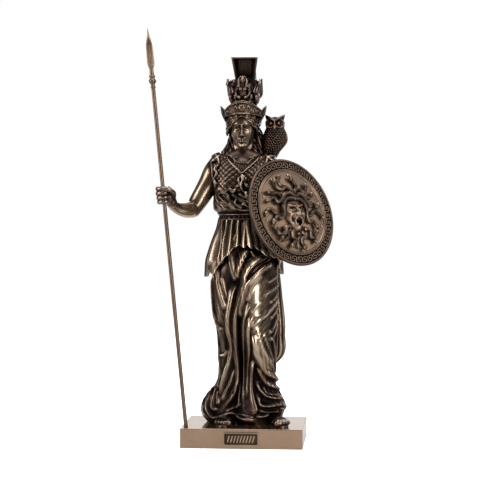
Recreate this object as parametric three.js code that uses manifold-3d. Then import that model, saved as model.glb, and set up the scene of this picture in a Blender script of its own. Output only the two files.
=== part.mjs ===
// Statuette of a standing goddess with crested helmet, spear, owl and round shield, on its plinth.
// Millimetres, +Z up. The origin is the centre of the plinth's underside, and the figure faces -Y.
import * as THREE from 'three';
import { mergeVertices } from 'three/addons/utils/BufferGeometryUtils.js';
import Module from 'manifold-3d';

// Driving dimensions
const plinth = { width: 104, depth: 83.5, height: 17 };
const plate = { width: 30.6, height: 11.9, thick: 1.4, corner: 2.4, border: 1.1, sunk: 0.5 };
const figureHeight = 316; // from the plinth's top to the top of the crest
const spear = { length: 340, radius: 1.5, footX: -47.1, footY: -37.5 };
const spearHead = { length: 48, halfWidth: 3.4, halfThick: 1.7, knop: 3.4 };
const shield = { radius: 47.2, thick: 2.6, field: 36.4, dome: 3, lip: 2.4, ridge: 0.8 };
const strap = { width: 9, thick: 1.4, play: 0.7 };
const grip = { radius: 1.4, half: 12 };
const owlHeight = 37.5; // from its claws to its ear tips
const gap = 0.3; // left between pieces that touch on curved faces

// The figure is drawn 316 high above the plinth, and its pose and proportions scale with figureHeight
const drawnHeight = 316;
const grow = figureHeight / drawnHeight;
const ground = plinth.height;

const { sin, cos, abs, max, min, exp, hypot, PI, atan2, pow, round, sign } = Math;
const deg = PI / 180;
const v = (x, y, z) => new THREE.Vector3(x, y, z);
const raised = (geometry) => geometry.scale(grow, grow, grow).translate(0, 0, ground);
const onFigure = (x, y, h) => v(x * grow, y * grow, ground + h * grow);

const wasm = await Module();
wasm.setup();

// Shaping functions

// A smooth curve through rows of [position, value, value, ...], flat beyond its ends
function profile(rows) {
  const last = rows.length - 1;
  const slope = (i, k) => {
    const a = rows[max(i - 1, 0)];
    const b = rows[min(i + 1, last)];
    return (b[k] - a[k]) / (b[0] - a[0]);
  };
  return (x, k = 1) => {
    if (x <= rows[0][0]) return rows[0][k];
    if (x >= rows[last][0]) return rows[last][k];
    const i = rows.findIndex((row) => row[0] > x) - 1;
    const span = rows[i + 1][0] - rows[i][0];
    const t = (x - rows[i][0]) / span;
    const p = rows[i][k];
    const q = rows[i + 1][k];
    const low = slope(i, k) * span;
    const high = slope(i + 1, k) * span;
    return p + t * (low + t * (3 * (q - p) - 2 * low - high + t * (low + high - 2 * (q - p))));
  };
}

const bump = (x, width) => exp(-((x / width) ** 2));
const rise = (low, high, x) => {
  const t = min(max((x - low) / (high - low), 0), 1);
  return t * t * (3 - 2 * t);
};
const mix = (a, b, t) => a + (b - a) * t;
const turnFrom = (a, b) => atan2(sin(a - b), cos(a - b));
const squared = (value, power) => sign(value) * pow(abs(value), power);

// A body of rings: place(angle, share of its height) gives each wall point, and each end is closed.
// Angle 0 faces -Y and grows towards +X.
function ringed(around, up, place) {
  const geometry = new THREE.CylinderGeometry(1, 1, 1, around, up);
  const points = geometry.attributes.position;
  const middle = [0, 1].map((t) => {
    const sum = v(0, 0, 0);
    for (let i = 0; i < around; i += 1) sum.add(place(i / around * 2 * PI, t));
    return sum.divideScalar(around);
  });
  for (let i = 0; i < points.count; i += 1) {
    const t = round((points.getY(i) + 0.5) * up) / up;
    const turn = round(atan2(points.getX(i), points.getZ(i)) / (2 * PI) * around + around) % around;
    const onAxis = hypot(points.getX(i), points.getZ(i)) < 0.5;
    const p = onAxis ? middle[round(t)] : place(turn / around * 2 * PI, t);
    points.setXYZ(i, p.x, p.y, p.z);
  }
  return geometry;
}

// A limb, finger, lock or snake: round sections of the given radii along a curve through the points
function limb(points, radii, around, along, flat = 1) {
  const curve = new THREE.CatmullRomCurve3(points, false, 'centripetal');
  const frames = curve.computeFrenetFrames(along, false);
  const width = profile(radii.map((r, i) => [i / (radii.length - 1), r]));
  return ringed(around, along, (a, t) => {
    const i = round(t * along);
    const r = width(t);
    return curve.getPointAt(t)
      .addScaledVector(frames.normals[i], sin(a) * r)
      .addScaledVector(frames.binormals[i], cos(a) * r * flat);
  });
}

// A rounded mass: a sphere stretched to three half sizes about a centre, then shaped
function mass(centre, half, across, up, shape = (p) => p) {
  const geometry = new THREE.SphereGeometry(1, across, up).rotateX(PI / 2);
  const points = geometry.attributes.position;
  const whole = (value) => round(value * 1e6) / 1e6;
  for (let i = 0; i < points.count; i += 1) {
    const side = v(whole(points.getX(i)), whole(points.getY(i)), whole(points.getZ(i)));
    const p = shape(side.clone().multiply(half).add(centre), side);
    points.setXYZ(i, p.x, p.y, p.z);
  }
  return geometry;
}

// Joining and cutting

function solid(geometry) {
  geometry.deleteAttribute('normal');
  geometry.deleteAttribute('uv');
  const whole = mergeVertices(geometry, 1e-5);
  const made = (corners) => new wasm.Manifold(new wasm.Mesh({
    numProp: 3,
    vertProperties: Float32Array.from(whole.attributes.position.array),
    triVerts: Uint32Array.from(corners),
  }));
  const body = made(whole.index.array);
  // A mapping that mirrors a form turns it inside out, and its faces are then turned back
  return body.volume() > 0 ? body : made(Array.from(whole.index.array).reverse());
}

function geometryOf(body) {
  const mesh = body.getMesh();
  const geometry = new THREE.BufferGeometry();
  geometry.setAttribute('position', new THREE.BufferAttribute(Float32Array.from(mesh.vertProperties), 3));
  geometry.setIndex(Array.from(mesh.triVerts));
  return geometry;
}

const union = (bodies) => bodies.reduce((all, one) => all.add(one));
const joined = (geometries) => union(geometries.map(solid));
// Hollows that are closed in between joined forms are filled, as in a casting
const filled = (body) => union(body.decompose().filter((shell) => shell.volume() > 0));
const aboveGround = (body) => body.trimByPlane([0, 0, 1], ground);

// Gown: height above the plinth, then its left edge, right edge, front and back there
const gown = profile([
  [0, -33, 31, -22, 26], [5, -37.4, 32.5, -24, 27], [13, -38.8, 34.5, -24, 27],
  [21, -34.5, 31, -23, 26],
  [29, -29, 26.6, -21, 25], [37, -24.6, 24.6, -20, 24], [48, -23.4, 25.4, -19, 23],
  [62, -23.2, 27, -18.5, 23],
  [80, -24.6, 28, -18.5, 23], [100, -27.6, 29, -18.5, 23], [125, -29.6, 29.5, -18.5, 23],
  [143, -29, 29, -18.5, 22], [158, -26, 26, -17, 19], [170, -23, 23, -15, 17], [180, -21.5, 20.5, -14, 15],
]);

// The legs press it outwards: height, angle of the leg, its half width there and how far it presses
const legs = [
  profile([
    [4, 64, 16, 1], [16, 62, 18, 3], [34, 56, 22, 5], [52, 46, 24, 7.5], [70, 34, 26, 10], [82, 29, 28, 11],
    [96, 31, 30, 9], [118, 38, 34, 5.5], [140, 44, 38, 2], [152, 46, 38, 0],
  ]),
  profile([
    [10, -40, 20, 0], [40, -42, 20, 2], [60, -43, 22, 3],
    [80, -44, 24, 4], [100, -44, 26, 3], [140, -42, 28, 0],
  ]),
];

// Main folds of the gown: angle at the hem and at the hips, half width there, depth at the hem and hips
const foldRows = [
  [-72, -66, 8, 4.4, 1.4], [-50, -50, 6.5, 3.2, 1.2], [-33, -28, 5.5, 2.4, 0.6],
  [-17, -13, 5.2, 5.4, 3.6], [-4, -3, 5, 6, 4.4], [9, 7, 5.2, 5.4, 2.8],
  [26, 20, 6, 2.6, 0.4], [64, 60, 7, 3.6, 2], [82, 78, 7, 3.6, 2.2],
];
const backFolds = { count: 8, from: 100, to: 262, depth: 2.4 };
const hipHeight = 150;

function folds(a, h) {
  const up = h / hipHeight;
  const front = foldRows.reduce((sum, [low, high, wide, deepLow, deepHigh]) => (
    sum + mix(deepLow, deepHigh, up) * bump(turnFrom(a, mix(low, high, up) * deg), wide * deg)), 0);
  const spin = (a / deg + 360) % 360;
  const { count, from, to, depth } = backFolds;
  const inside = rise(from - 12, from + 6, spin) * (1 - rise(to - 6, to + 12, spin));
  return front + inside * depth * cos((spin - from) / (to - from) * count * 2 * PI) * (1 - 0.4 * up) - 1.2;
}

function gownPoint(a, h, out = 0) {
  const left = gown(h, 1);
  const right = gown(h, 2);
  const deep = cos(a) > 0 ? -gown(h, 3) : gown(h, 4);
  const pressed = (leg) => leg(h, 3) * bump(turnFrom(a, leg(h, 1) * deg), leg(h, 2) * deg);
  const press = legs.reduce((sum, leg) => sum + pressed(leg), 0);
  return v((left + right) / 2 + (right - left) / 2 * sin(a), -deep * cos(a), h)
    .addScaledVector(v(sin(a), -cos(a), 0), press + out);
}

// Its points stand closer together in front, where the folds are narrow
const lowerGown = ringed(66, 9, (turn, t) => {
  const a = turn - 0.34 * sin(turn);
  const h = 162 * pow(t, 1.35);
  return gownPoint(a, h, folds(a, h));
});

// Overfold below the belt: angle, then the height of its hem, which rises in front and ends in side tails
const hem = profile([
  [-180, 146], [-130, 140], [-96, 134], [-76, 128], [-62, 138], [-44, 141], [-30, 145], [-19, 152],
  [0, 155], [20, 154], [40, 147], [62, 140], [80, 130], [100, 138], [140, 142], [180, 146],
]);
const pleatCount = 15;
const overfold = ringed(pleatCount * 4, 2, (a, t) => {
  const turn = turnFrom(a, 0) / deg;
  const h = mix(hem(turn), 177, t);
  const pleat = 1.5 * cos(a * pleatCount) * (1 - 0.7 * t);
  return gownPoint(a, h, 1.6 + 2.4 * (1 - t) ** 2 + pleat);
});

// Belt and chest: height, left, right, front and back at each ring
const chestRows = [
  [172, -19.5, 18.5, -13, 14], [175.6, -22.8, 21.6, -15.8, 16.4], [180.6, -23.4, 22.2, -16.4, 16.8],
  [182.6, -22, 20.8, -15.4, 15.8], [187, -26.6, 24, -18.6, 17.4], [196, -26.7, 24.2, -19.4, 17],
  [205, -27.7, 25.2, -21, 17.5], [214, -29.3, 26.4, -19.4, 17.5], [223.5, -30.6, 28, -14.6, 15],
  [229.5, -26.6, 24, -10.8, 12.8], [234, -16, 13, -8.5, 10.5], [237, -9.5, 6.5, -8, 8],
];
const torso = ringed(22, chestRows.length - 1, (a, t) => {
  const [h, left, right, front, back] = chestRows[round(t * (chestRows.length - 1))];
  const swell = [-33, 31].reduce((sum, at) => sum + bump(turnFrom(a, at * deg), 0.36), 0) * bump(h - 204, 10);
  const deep = cos(a) > 0 ? -front : back;
  return v((left + right) / 2 + (right - left) / 2 * sin(a), -deep * cos(a), h)
    .addScaledVector(v(sin(a), -cos(a), 0), 3.2 * swell);
});

// Edge of the mantle round the neck, its clasp, and the snake knot on her right shoulder
const collar = limb([
  v(-15, 3, 232.5), v(-13, -9.5, 227), v(-7, -17.8, 219), v(-2, -20.6, 215),
  v(3.5, -17.8, 219), v(9.5, -9.5, 227), v(12, 3, 232.5),
], [1.7, 1.7], 4, 8);
const clasp = mass(v(-1.8, -19.4, 209), v(2.3, 2.8, 7), 6, 4);
const shoulderKnot = mass(v(-26, -3, 229.5), v(4.6, 5, 3), 8, 5);

// Arms: the right hand holds the spear, and the left arm carries the shield
const rightArm = limb(
  [v(-23, 3, 223), v(-27.5, 3, 216), v(-36, 1, 200.7), v(-42, -2, 190), v(-45, -4, 184.5)],
  [9.2, 9, 7.7, 7.2, 6.4], 10, 5);
const rightForearm = limb(
  [v(-44.5, -3, 185.5), v(-51, -13, 184.8), v(-57.3, -22, 187), v(-61.8, -30, 190.8)],
  [7.2, 6.7, 5.3, 4.3], 10, 4);
const hold = v(-66.2, -35.5, 196.5);
const spearFoot = v(spear.footX, spear.footY, ground);
const spearDirection = onFigure(hold.x, hold.y, hold.z).sub(spearFoot).normalize();
const spearAt = (h) => hold.clone().addScaledVector(spearDirection, (h - hold.z) / spearDirection.z);
const palm = mass(v(-61.6, -33.8, 196.6), v(5, 5.4, 7), 9, 6);
const fingers = [203.2, 199.3, 195.3, 191.5].map((h, i) => {
  const middle = spearAt(h);
  const reach = 4.4 - 0.16 * abs(i - 1);
  const bends = [80, 140, 200, 262, 316].map((turn) => v(
    middle.x + reach * cos(turn * deg) * 1.25, middle.y + reach * sin(turn * deg), h - 0.3));
  return limb(bends, [2.5, 2.4, 2.4, 2.2, 2], 4, 5);
});
const thumb = limb(
  [v(-58.5, -35, 196), v(-59, -39, 201), v(-62, -41, 204), v(-65.5, -41.6, 205)], [2.6, 2.5, 2.3, 2], 5, 3);
const leftElbow = v(47, 4, 189);
const leftWrist = v(23, -27, 183.5);
const leftArm = limb([v(21, 4, 222), v(27, 4, 216), v(38, 4, 202), leftElbow], [9.6, 9.4, 8, 6.8], 9, 4);
const leftForearm = limb([leftElbow, leftElbow.clone().lerp(leftWrist, 0.4), leftWrist], [7, 6.8, 4.6], 9, 3);
const leftHand = v(20, -30.8, 183);
const leftFist = mass(leftHand, v(6, 6, 6.6), 9, 6);

// Neck, head and hair
const neck = limb([v(-1.6, 2, 226), v(-1.6, 0, 236), v(-1.6, 0, 246)], [9, 7.4, 7.6], 12, 2);
const head = mass(v(-1.6, -1, 252.5), v(10.9, 14, 15.5), 12, 10, (p, side) => {
  const low = rise(0.1, -0.9, side.z);
  const front = max(-side.y, 0);
  const nose = 2.6 * bump(side.x, 0.13) * bump(side.z + 0.22, 0.22);
  const sockets = 1.1 * bump(abs(side.x) - 0.4, 0.16) * bump(side.z - 0.06, 0.12);
  return v(-1.6 + (p.x + 1.6) * (1 - 0.3 * low), p.y - front * (0.8 * low + nose - sockets), p.z);
});
const hairTop = mass(v(-1.4, 1, 259), v(13.2, 14.4, 9.2), 10, 5);
const besideHead = (side) => (out, y, h) => v(-1.4 + side * out, y, h);
const sideHair = [-1, 1].map(besideHead).map((at) => limb(
  [at(11.8, -6, 262), at(13.2, -4, 256), at(12, 0, 250), at(10, 5, 244)], [2.8, 3.2, 3, 2.6], 6, 4));
const backHair = limb(
  [v(-1.4, 10, 262), v(-1.4, 13, 246), v(-1.4, 13, 230), v(-1.4, 15, 214)], [11, 10, 9, 5], 10, 4, 0.7);
const shoulderLocks = [-1, 1].map(besideHead).map((at) => limb(
  [at(9, 7, 248), at(13, 4, 238), at(18, 1, 231), at(24, -1, 227)], [3.6, 3.2, 2.8, 2], 6, 4));

// Helmet: bowl, peaked diadem, raised cheek pieces, three crouching figures and the crest
const bowl = mass(v(-1.4, 2.5, 268), v(14.4, 16, 12.2), 12, 5);
const diadem = ringed(6, 12, (a, t) => {
  const turn = (t - 0.5) * 200 * deg;
  const top = 267.5 + 9.8 * pow(max(cos(turn / 1.8), 0), 1.6);
  const low = 262.4 + 3.4 * cos(turn / 2);
  const out = 15.3 + 1.4 * sin(a) + 0.8 * cos(a);
  const h = mix(low, top, 0.5 + 0.5 * squared(cos(a), 0.6));
  return v(-1.3 + out * sin(turn) * 0.98, 2.2 - (out + 2) * cos(turn), h);
});
const cheekPieces = [-1, 1].map((side) => mass(
  v(-1.6 + side * 14.6, 3, 265.5), v(1.5, 3.2, 9.4), 6, 6,
  (p, way) => v(p.x + side * 4.6 * max(way.z, 0) ** 2, p.y + 2 * way.z, p.z)));
const sphinx = [
  mass(v(-1, -9.5, 285), v(5.4, 5.5, 9), 9, 6),
  mass(v(-1, -12, 295.4), v(2.7, 3, 3.6), 8, 5),
];
const wingedBeasts = [-1, 1].flatMap((side) => [
  mass(v(side * 9.4, -1, 282), v(5, 9.4, 9.6), 8, 5),
  mass(v(side * 11.6, -7, 292.5), v(2.6, 4, 4.6), 6, 4),
  limb([v(side * 10, 0, 284), v(side * 12.6, 3, 291), v(side * 14.6, 6, 297.5)], [3.8, 3.2, 1.4], 6, 2),
]);
const crestSeat = ringed(6, 4, (a, t) => {
  const turn = mix(10, 160, t) * deg;
  const out = 19 + 5 * sin(a);
  return v(-0.6 + 6 * cos(a), 7 - out * cos(turn) * 0.8, 272 + out * sin(turn) * 1.12);
});
const crest = ringed(8, 9, (a, t) => {
  const turn = mix(58, 196, t) * deg;
  const low = 24;
  const high = 42.4 - 11 * rise(0.55, 1, t);
  const up = (1 + squared(cos(a), 0.1)) / 2;
  const wide = mix(8.2, 11.6, up) * (1 - 0.35 * rise(0.6, 1, t));
  const middle = mix(0.5, -1.3, up);
  const out = mix(low, high, up);
  return v(middle + wide * squared(sin(a), 0.1), 8 - out * cos(turn) * 0.72, 274 + out * sin(turn));
});

// Feet under the hem, and the cloak that falls behind her left side
const feet = [
  mass(v(-15.8, -18, 2.6), v(7.4, 13.6, 5.6), 10, 6),
  mass(v(30.5, -17, 2.6), v(7.4, 13.6, 5.6), 10, 6, (p) => v(p.x - (p.y + 17) * 0.34, p.y, p.z)),
];
// Height of each ring, how far it reaches to her left and its half depth
const cloakRows = [[46, 22, 4], [55, 32, 8], [77, 34.3, 9], [112, 31, 8.4], [150, 27, 7], [229, 22, 5]];
const cloak = ringed(18, cloakRows.length - 1, (a, t) => {
  const [h, edge, depth] = cloakRows[round(t * (cloakRows.length - 1))];
  const inner = mix(-4, 2, t);
  const deep = depth + 1.2 * cos(a * 6);
  return v(mix(inner, edge, (1 + sin(a)) / 2), 14 - 2 * t - deep * cos(a), h);
});

const figureForms = [
  lowerGown, overfold, torso, collar, clasp, shoulderKnot,
  rightArm, rightForearm, palm, ...fingers, thumb, leftArm, leftForearm, leftFist,
  neck, head, hairTop, ...sideHair, backHair, ...shoulderLocks,
  bowl, diadem, ...cheekPieces, ...sphinx, ...wingedBeasts, crestSeat, crest, ...feet, cloak,
];

// Owl on her left shoulder: share of its height, half width, half depth, shift forward
const owlRows = profile([
  [0, 3.4, 4, 0], [0.1, 5.6, 5.8, 0], [0.24, 8.6, 8, 0.5], [0.42, 9.9, 8.6, 0.8], [0.58, 8.6, 7.8, 0.6],
  [0.7, 8.5, 7.9, 1.6], [0.84, 8.6, 7.6, 1.8], [0.92, 7.2, 6, 1.4], [0.955, 4, 3.4, 1],
]);
const owlFoot = onFigure(25.9, 5, 229);
const owlDrawn = 37.5;
function owlForms(extra) {
  const body = ringed(12, 7, (a, t) => {
    const share = 0.955 * t;
    return v((owlRows(share, 1) + extra) * sin(a), -owlRows(share, 3) - (owlRows(share, 2) + extra) * cos(a),
      owlDrawn * share + (t === 0 ? -extra : 0) + (t === 1 ? extra : 0));
  });
  const ears = [-1, 1].map((side) => limb(
    [v(side * 4.6, -2, owlDrawn * 0.86), v(side * 7, -2.4, owlDrawn * 0.94), v(side * 8.4, -2.6, owlDrawn)],
    [3 + extra, 1.9 + extra, 0.4 + extra], 5, 2));
  const tail = limb([v(0, 7, 12), v(0, 10, 3), v(0, 11, -6)], [4.4 + extra, 4 + extra, 2.6 + extra], 6, 2, 1);
  const beak = limb([v(0, -9, 27.4), v(0, -10.6, 25.6), v(0, -10, 23.6)], [1.4, 1.2, 0.3], 5, 2);
  const scaled = owlHeight / owlDrawn;
  return [body, ...ears, tail, beak].map((form) => (
    form.scale(scaled, scaled, scaled).translate(owlFoot.x, owlFoot.y, owlFoot.z)));
}

// Shield in its own frame: +Z out of its face, +X to its right edge and +Y to its top
const shieldFacing = v(0.693, -0.654, 0.304).normalize();
const shieldMiddle = onFigure(42.5, -30, 183);
const shieldAcross = v(0, 0, 1).cross(shieldFacing).normalize();
const shieldUp = shieldFacing.clone().cross(shieldAcross);
const toWorld = new THREE.Matrix4().makeBasis(shieldAcross, shieldUp, shieldFacing).setPosition(shieldMiddle);
const toShield = toWorld.clone().invert();
const inShield = (x, y, h) => onFigure(x, y, h).applyMatrix4(toShield);

// The field is domed and ringed by a ridge, then the sunk border band and the lip
const bulge = (r) => shield.dome * max(1 - (r / shield.field) ** 2, 0);
const insideWall = (x, y) => bulge(hypot(x, y)) - shield.thick / 2;

function shieldDisc(extra, around) {
  const { radius, thick, field, lip, ridge } = shield;
  const domed = field * 0.6;
  const front = [
    [radius, 0], [radius - lip * 0.8, 0], [radius - lip, -ridge], [field * 1.07, -ridge / 2],
    [field * 1.05, ridge], [field, ridge], [field * 0.97, 0], [domed, bulge(domed)], [0, bulge(0)],
  ];
  const back = [[0, bulge(0) - thick], [domed, bulge(domed) - thick], [field, -thick], [radius, -thick]];
  const outline = [
    ...back.map(([r, z]) => [r, z - extra]),
    ...front.map(([r, z]) => [r, z + extra]),
  ].map(([r, z]) => new THREE.Vector2(r * (1 + extra / radius), z));
  return new THREE.LatheGeometry(outline, around).rotateX(PI / 2);
}

// Gorgon's head at the middle of the field, with snakes that wind outwards
const gorgonX = 3;
const snakeCount = 8;
const gorgonFace = mass(v(gorgonX, 0, shield.dome), v(7, 11.5, 6), 8, 6, (p, side) => (
  v(gorgonX + (p.x - gorgonX) * (1 + 0.2 * side.y), p.y, p.z + 1.2 * bump(side.x, 0.2) * bump(side.y, 0.3))));
const snakes = Array.from({ length: snakeCount }, (_, k) => {
  const start = mix(-62, 242, k / (snakeCount - 1)) * deg;
  const bend = k % 2 ? 1 : -1;
  const points = [0, 1, 2, 3, 4].map((i) => {
    const r = 9 + i * 4.6 + (k % 3) * 0.6 * i / 4;
    const turn = start + bend * [0, 0.42, 0.1, -0.2, 0.08][i] * (9 / r) * 1.6;
    const height = shield.dome * (1 - (r / shield.field) ** 2) + [1.8, 1.4, 0.9, 0.7, 0.9][i];
    return v(gorgonX * (1 - i / 6) + r * cos(turn), r * sin(turn) * 1.05, height);
  });
  return limb(points, [1.7, 2, 1.9, 1.6, 2.2], 4, 5);
});

// Arm band and hand grip on the shield's back
const elbowIn = inShield(...leftElbow);
const wristIn = inShield(...leftWrist);
const handIn = inShield(...leftHand);
const bandMiddle = elbowIn.clone().lerp(wristIn, 0.45);
function armBand(extra) {
  const inner = 7 * grow + strap.play - extra;
  const outer = inner + strap.thick + 2 * extra;
  const top = insideWall(bandMiddle.x, bandMiddle.y) - bandMiddle.z;
  const outline = new THREE.Shape().moveTo(outer, top).lineTo(outer, 0).absarc(0, 0, outer, 0, -PI, true)
    .lineTo(-outer, top).lineTo(-inner, top).lineTo(-inner, 0).absarc(0, 0, inner, PI, 2 * PI, false)
    .lineTo(inner, top).closePath();
  const width = strap.width + 2 * extra;
  const along = wristIn.clone().sub(elbowIn).setZ(0).normalize();
  const side = v(0, 0, 1).cross(along);
  return new THREE.ExtrudeGeometry(outline, { depth: width, bevelEnabled: false, curveSegments: 4 })
    .translate(0, 0, -width / 2)
    .applyMatrix4(new THREE.Matrix4().makeBasis(side, v(0, 0, 1), along.negate()).setPosition(bandMiddle));
}
function handGrip(extra) {
  const deep = handIn.z;
  const r = grip.radius + extra;
  const footAt = (y) => [y, insideWall(handIn.x, handIn.y + y)];
  const bend = grip.half * 0.95;
  const flat = grip.half * 0.55;
  const points = [
    footAt(grip.half), [bend, deep * 0.7], [flat, deep],
    [-flat, deep], [-bend, deep * 0.7], footAt(-grip.half),
  ].map(([y, z]) => v(handIn.x, handIn.y + y, z));
  return limb(points, [r, r], 4, 7);
}

const shieldSolids = [shieldDisc(0, 24), gorgonFace, ...snakes, armBand(0), handGrip(0)];
const shieldRoom = [shieldDisc(gap, 20), armBand(gap), handGrip(gap)];

// Spear along its own axis: distance from its foot, half width, half thickness
const neckAt = spear.length - spearHead.length;
const r = spear.radius;
const spearRows = [
  [-1, r, r], [neckAt, r, r], [neckAt + 1, r + 0.6, r + 0.6], [neckAt + 2.6, spearHead.knop, spearHead.knop],
  [neckAt + 4.6, spearHead.knop, spearHead.knop], [neckAt + 6, r + 0.5, r + 0.5],
  [neckAt + 12, r + 0.6, r + 0.5],
  [neckAt + 20, spearHead.halfWidth, spearHead.halfThick],
  [neckAt + 30, spearHead.halfWidth * 0.84, spearHead.halfThick * 0.9],
  [spear.length - 8, spearHead.halfWidth * 0.42, spearHead.halfThick * 0.6], [spear.length, 0.25, 0.25],
];
const alongSpear = (geometry) => geometry
  .applyQuaternion(new THREE.Quaternion().setFromUnitVectors(v(0, 0, 1), spearDirection))
  .translate(spearFoot.x, spearFoot.y, spearFoot.z);
const spearForm = alongSpear(ringed(10, spearRows.length - 1, (a, t) => {
  const [z, wide, thick] = spearRows[round(t * (spearRows.length - 1))];
  return v(wide * sin(a), -thick * cos(a), z);
}));
const roomRadius = r + gap;
const spearRoom = alongSpear(ringed(10, 1, (a, t) => (
  v(roomRadius * sin(a), -roomRadius * cos(a), mix(-1, neckAt, t)))));

// Name plate on the plinth's front: a rounded plate with a raised border
function roundedPlate(inset, from, to) {
  const w = plate.width / 2 - inset;
  const h = plate.height / 2 - inset;
  const c = plate.corner - inset;
  const outline = new THREE.Shape().moveTo(-w + c, -h).lineTo(w - c, -h).absarc(w - c, -h + c, c, -PI / 2, 0)
    .lineTo(w, h - c).absarc(w - c, h - c, c, 0, PI / 2)
    .lineTo(-w + c, h).absarc(-w + c, h - c, c, PI / 2, PI)
    .lineTo(-w, -h + c).absarc(-w + c, -h + c, c, PI, PI * 1.5);
  return new THREE.ExtrudeGeometry(outline, { depth: to - from, bevelEnabled: false, curveSegments: 3 })
    .translate(0, 0, from).rotateX(PI / 2).translate(0, -plinth.depth / 2, plinth.height / 2);
}
const plateSolid = solid(roundedPlate(0, 0, plate.thick))
  .subtract(solid(roundedPlate(plate.border, plate.thick - plate.sunk, plate.thick + 1)));

const plinthForm = new THREE.BoxGeometry(plinth.width, plinth.depth, plinth.height)
  .translate(0, 0, plinth.height / 2);

// The figure gives way to what it holds, carries and stands on
const casting = aboveGround(joined(figureForms.map(raised)));
const held = [spearRoom, ...owlForms(gap), ...shieldRoom.map((form) => form.applyMatrix4(toWorld))];
const figureSolid = filled(casting).subtract(joined(held));

function mesh(name, geometry, color, roughness, metalness) {
  const made = new THREE.Mesh(geometry, new THREE.MeshStandardMaterial({ color, roughness, metalness }));
  made.name = name;
  return made;
}

const group = new THREE.Group();
group.add(
  mesh('plinth', plinthForm, 0x8c7260, 0.3, 0.9),
  mesh('nameplate', geometryOf(plateSolid), 0xa0846c, 0.4, 0.9),
  mesh('figure', geometryOf(filled(figureSolid)), 0x7a6450, 0.38, 0.9),
  mesh('owl', geometryOf(filled(joined(owlForms(0)))), 0x6a4a3c, 0.45, 0.9),
  mesh('shield', geometryOf(filled(joined(shieldSolids)).transform(toWorld.elements)), 0x8e7468, 0.35, 0.9),
  mesh('spear', geometryOf(aboveGround(solid(spearForm))), 0x9a7c60, 0.35, 0.9),
);

export default group;
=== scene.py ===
from math import cos, hypot, pi, radians, sin

import bmesh
import bpy
import numpy as np
from mathutils import Matrix, Vector
from mathutils.kdtree import KDTree


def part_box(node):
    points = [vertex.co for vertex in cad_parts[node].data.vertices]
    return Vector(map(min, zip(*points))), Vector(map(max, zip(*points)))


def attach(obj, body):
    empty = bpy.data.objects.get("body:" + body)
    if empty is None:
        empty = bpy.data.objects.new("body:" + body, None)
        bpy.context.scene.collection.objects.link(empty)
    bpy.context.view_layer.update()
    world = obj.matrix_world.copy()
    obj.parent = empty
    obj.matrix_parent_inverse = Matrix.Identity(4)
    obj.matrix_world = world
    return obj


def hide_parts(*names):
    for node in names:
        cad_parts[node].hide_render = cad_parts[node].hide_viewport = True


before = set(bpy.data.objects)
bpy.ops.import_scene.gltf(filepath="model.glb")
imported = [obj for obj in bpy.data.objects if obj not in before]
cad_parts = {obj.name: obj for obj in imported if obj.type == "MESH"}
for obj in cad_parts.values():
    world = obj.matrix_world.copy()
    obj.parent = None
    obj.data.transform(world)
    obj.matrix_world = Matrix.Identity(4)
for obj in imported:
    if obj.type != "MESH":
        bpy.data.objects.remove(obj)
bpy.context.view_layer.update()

millimetre = 0.001
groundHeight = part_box("plinth")[1].z / millimetre
drawnHeight = 316.4  # the height that the figure's numbers below are drawn at
figureScale = (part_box("figure")[1].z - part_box("figure")[0].z) / millimetre / drawnHeight


# Curves and shaping

def bump(x, width):
    return np.exp(-(x / width) ** 2)


def rise(low, high, x):
    t = np.clip((x - low) / (high - low), 0, 1)
    return t * t * (3 - 2 * t)


def mix(a, b, t):
    return a + (b - a) * t


def turnFrom(a, b):
    return np.arctan2(np.sin(a - b), np.cos(a - b))


def squared(value, power):
    return np.sign(value) * np.abs(value) ** power


def boxed(angle):
    # across and up on the outline of a square, from -1 to 1
    across, up = np.sin(angle), np.cos(angle)
    far = np.maximum(np.abs(across), np.abs(up))
    return across / far, up / far


def curve(rows):
    # a smooth curve through rows of position, value, value, ...
    table = np.array(rows, float)
    slope = np.gradient(table, table[:, 0], axis=0)

    def at(x, column=1):
        x = np.clip(x, table[0, 0], table[-1, 0])
        i = np.clip(np.searchsorted(table[:, 0], x, side="right") - 1, 0, len(table) - 2)
        span = table[i + 1, 0] - table[i, 0]
        t = (x - table[i, 0]) / span
        p, q = table[i, column], table[i + 1, column]
        low, high = slope[i, column] * span, slope[i + 1, column] * span
        return p + t * (low + t * (3 * (q - p) - 2 * low - high + t * (low + high - 2 * (q - p))))
    return at


def smoothLine(points, count):
    # count + 1 points, evenly spaced along a smooth line through the given ones
    p = np.array(points, float)
    p = np.vstack([2 * p[0] - p[1], p, 2 * p[-1] - p[-2]])
    t = np.linspace(0, 1, 13)[:-1, None]
    pieces = []
    for a, b, c, d in zip(p, p[1:], p[2:], p[3:]):
        bend = (2 * a - 5 * b + 4 * c - d) * t ** 2 + (3 * b - a - 3 * c + d) * t ** 3
        pieces.append(0.5 * (2 * b + (c - a) * t + bend))
    dense = np.vstack(pieces + [p[-2:-1]])
    steps = np.concatenate([[0], np.cumsum(np.linalg.norm(np.diff(dense, axis=0), axis=1))])
    wanted = np.linspace(0, steps[-1], count + 1)
    return np.column_stack([np.interp(wanted, steps, dense[:, k]) for k in range(dense.shape[1])])


def unit(vectors):
    vectors = np.asarray(vectors, float)
    return vectors / np.maximum(np.linalg.norm(vectors, axis=-1, keepdims=True), 1e-9)


# Forms: each starts from a bmesh grid or sphere, and its points are moved into place

def readPoints(mesh):
    flat = np.empty(len(mesh.vertices) * 3)
    mesh.vertices.foreach_get("co", flat)
    return flat.reshape(-1, 3)


def writePoints(mesh, points):
    mesh.vertices.foreach_set("co", np.ascontiguousarray(points, dtype=float).ravel())
    mesh.update()


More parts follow.
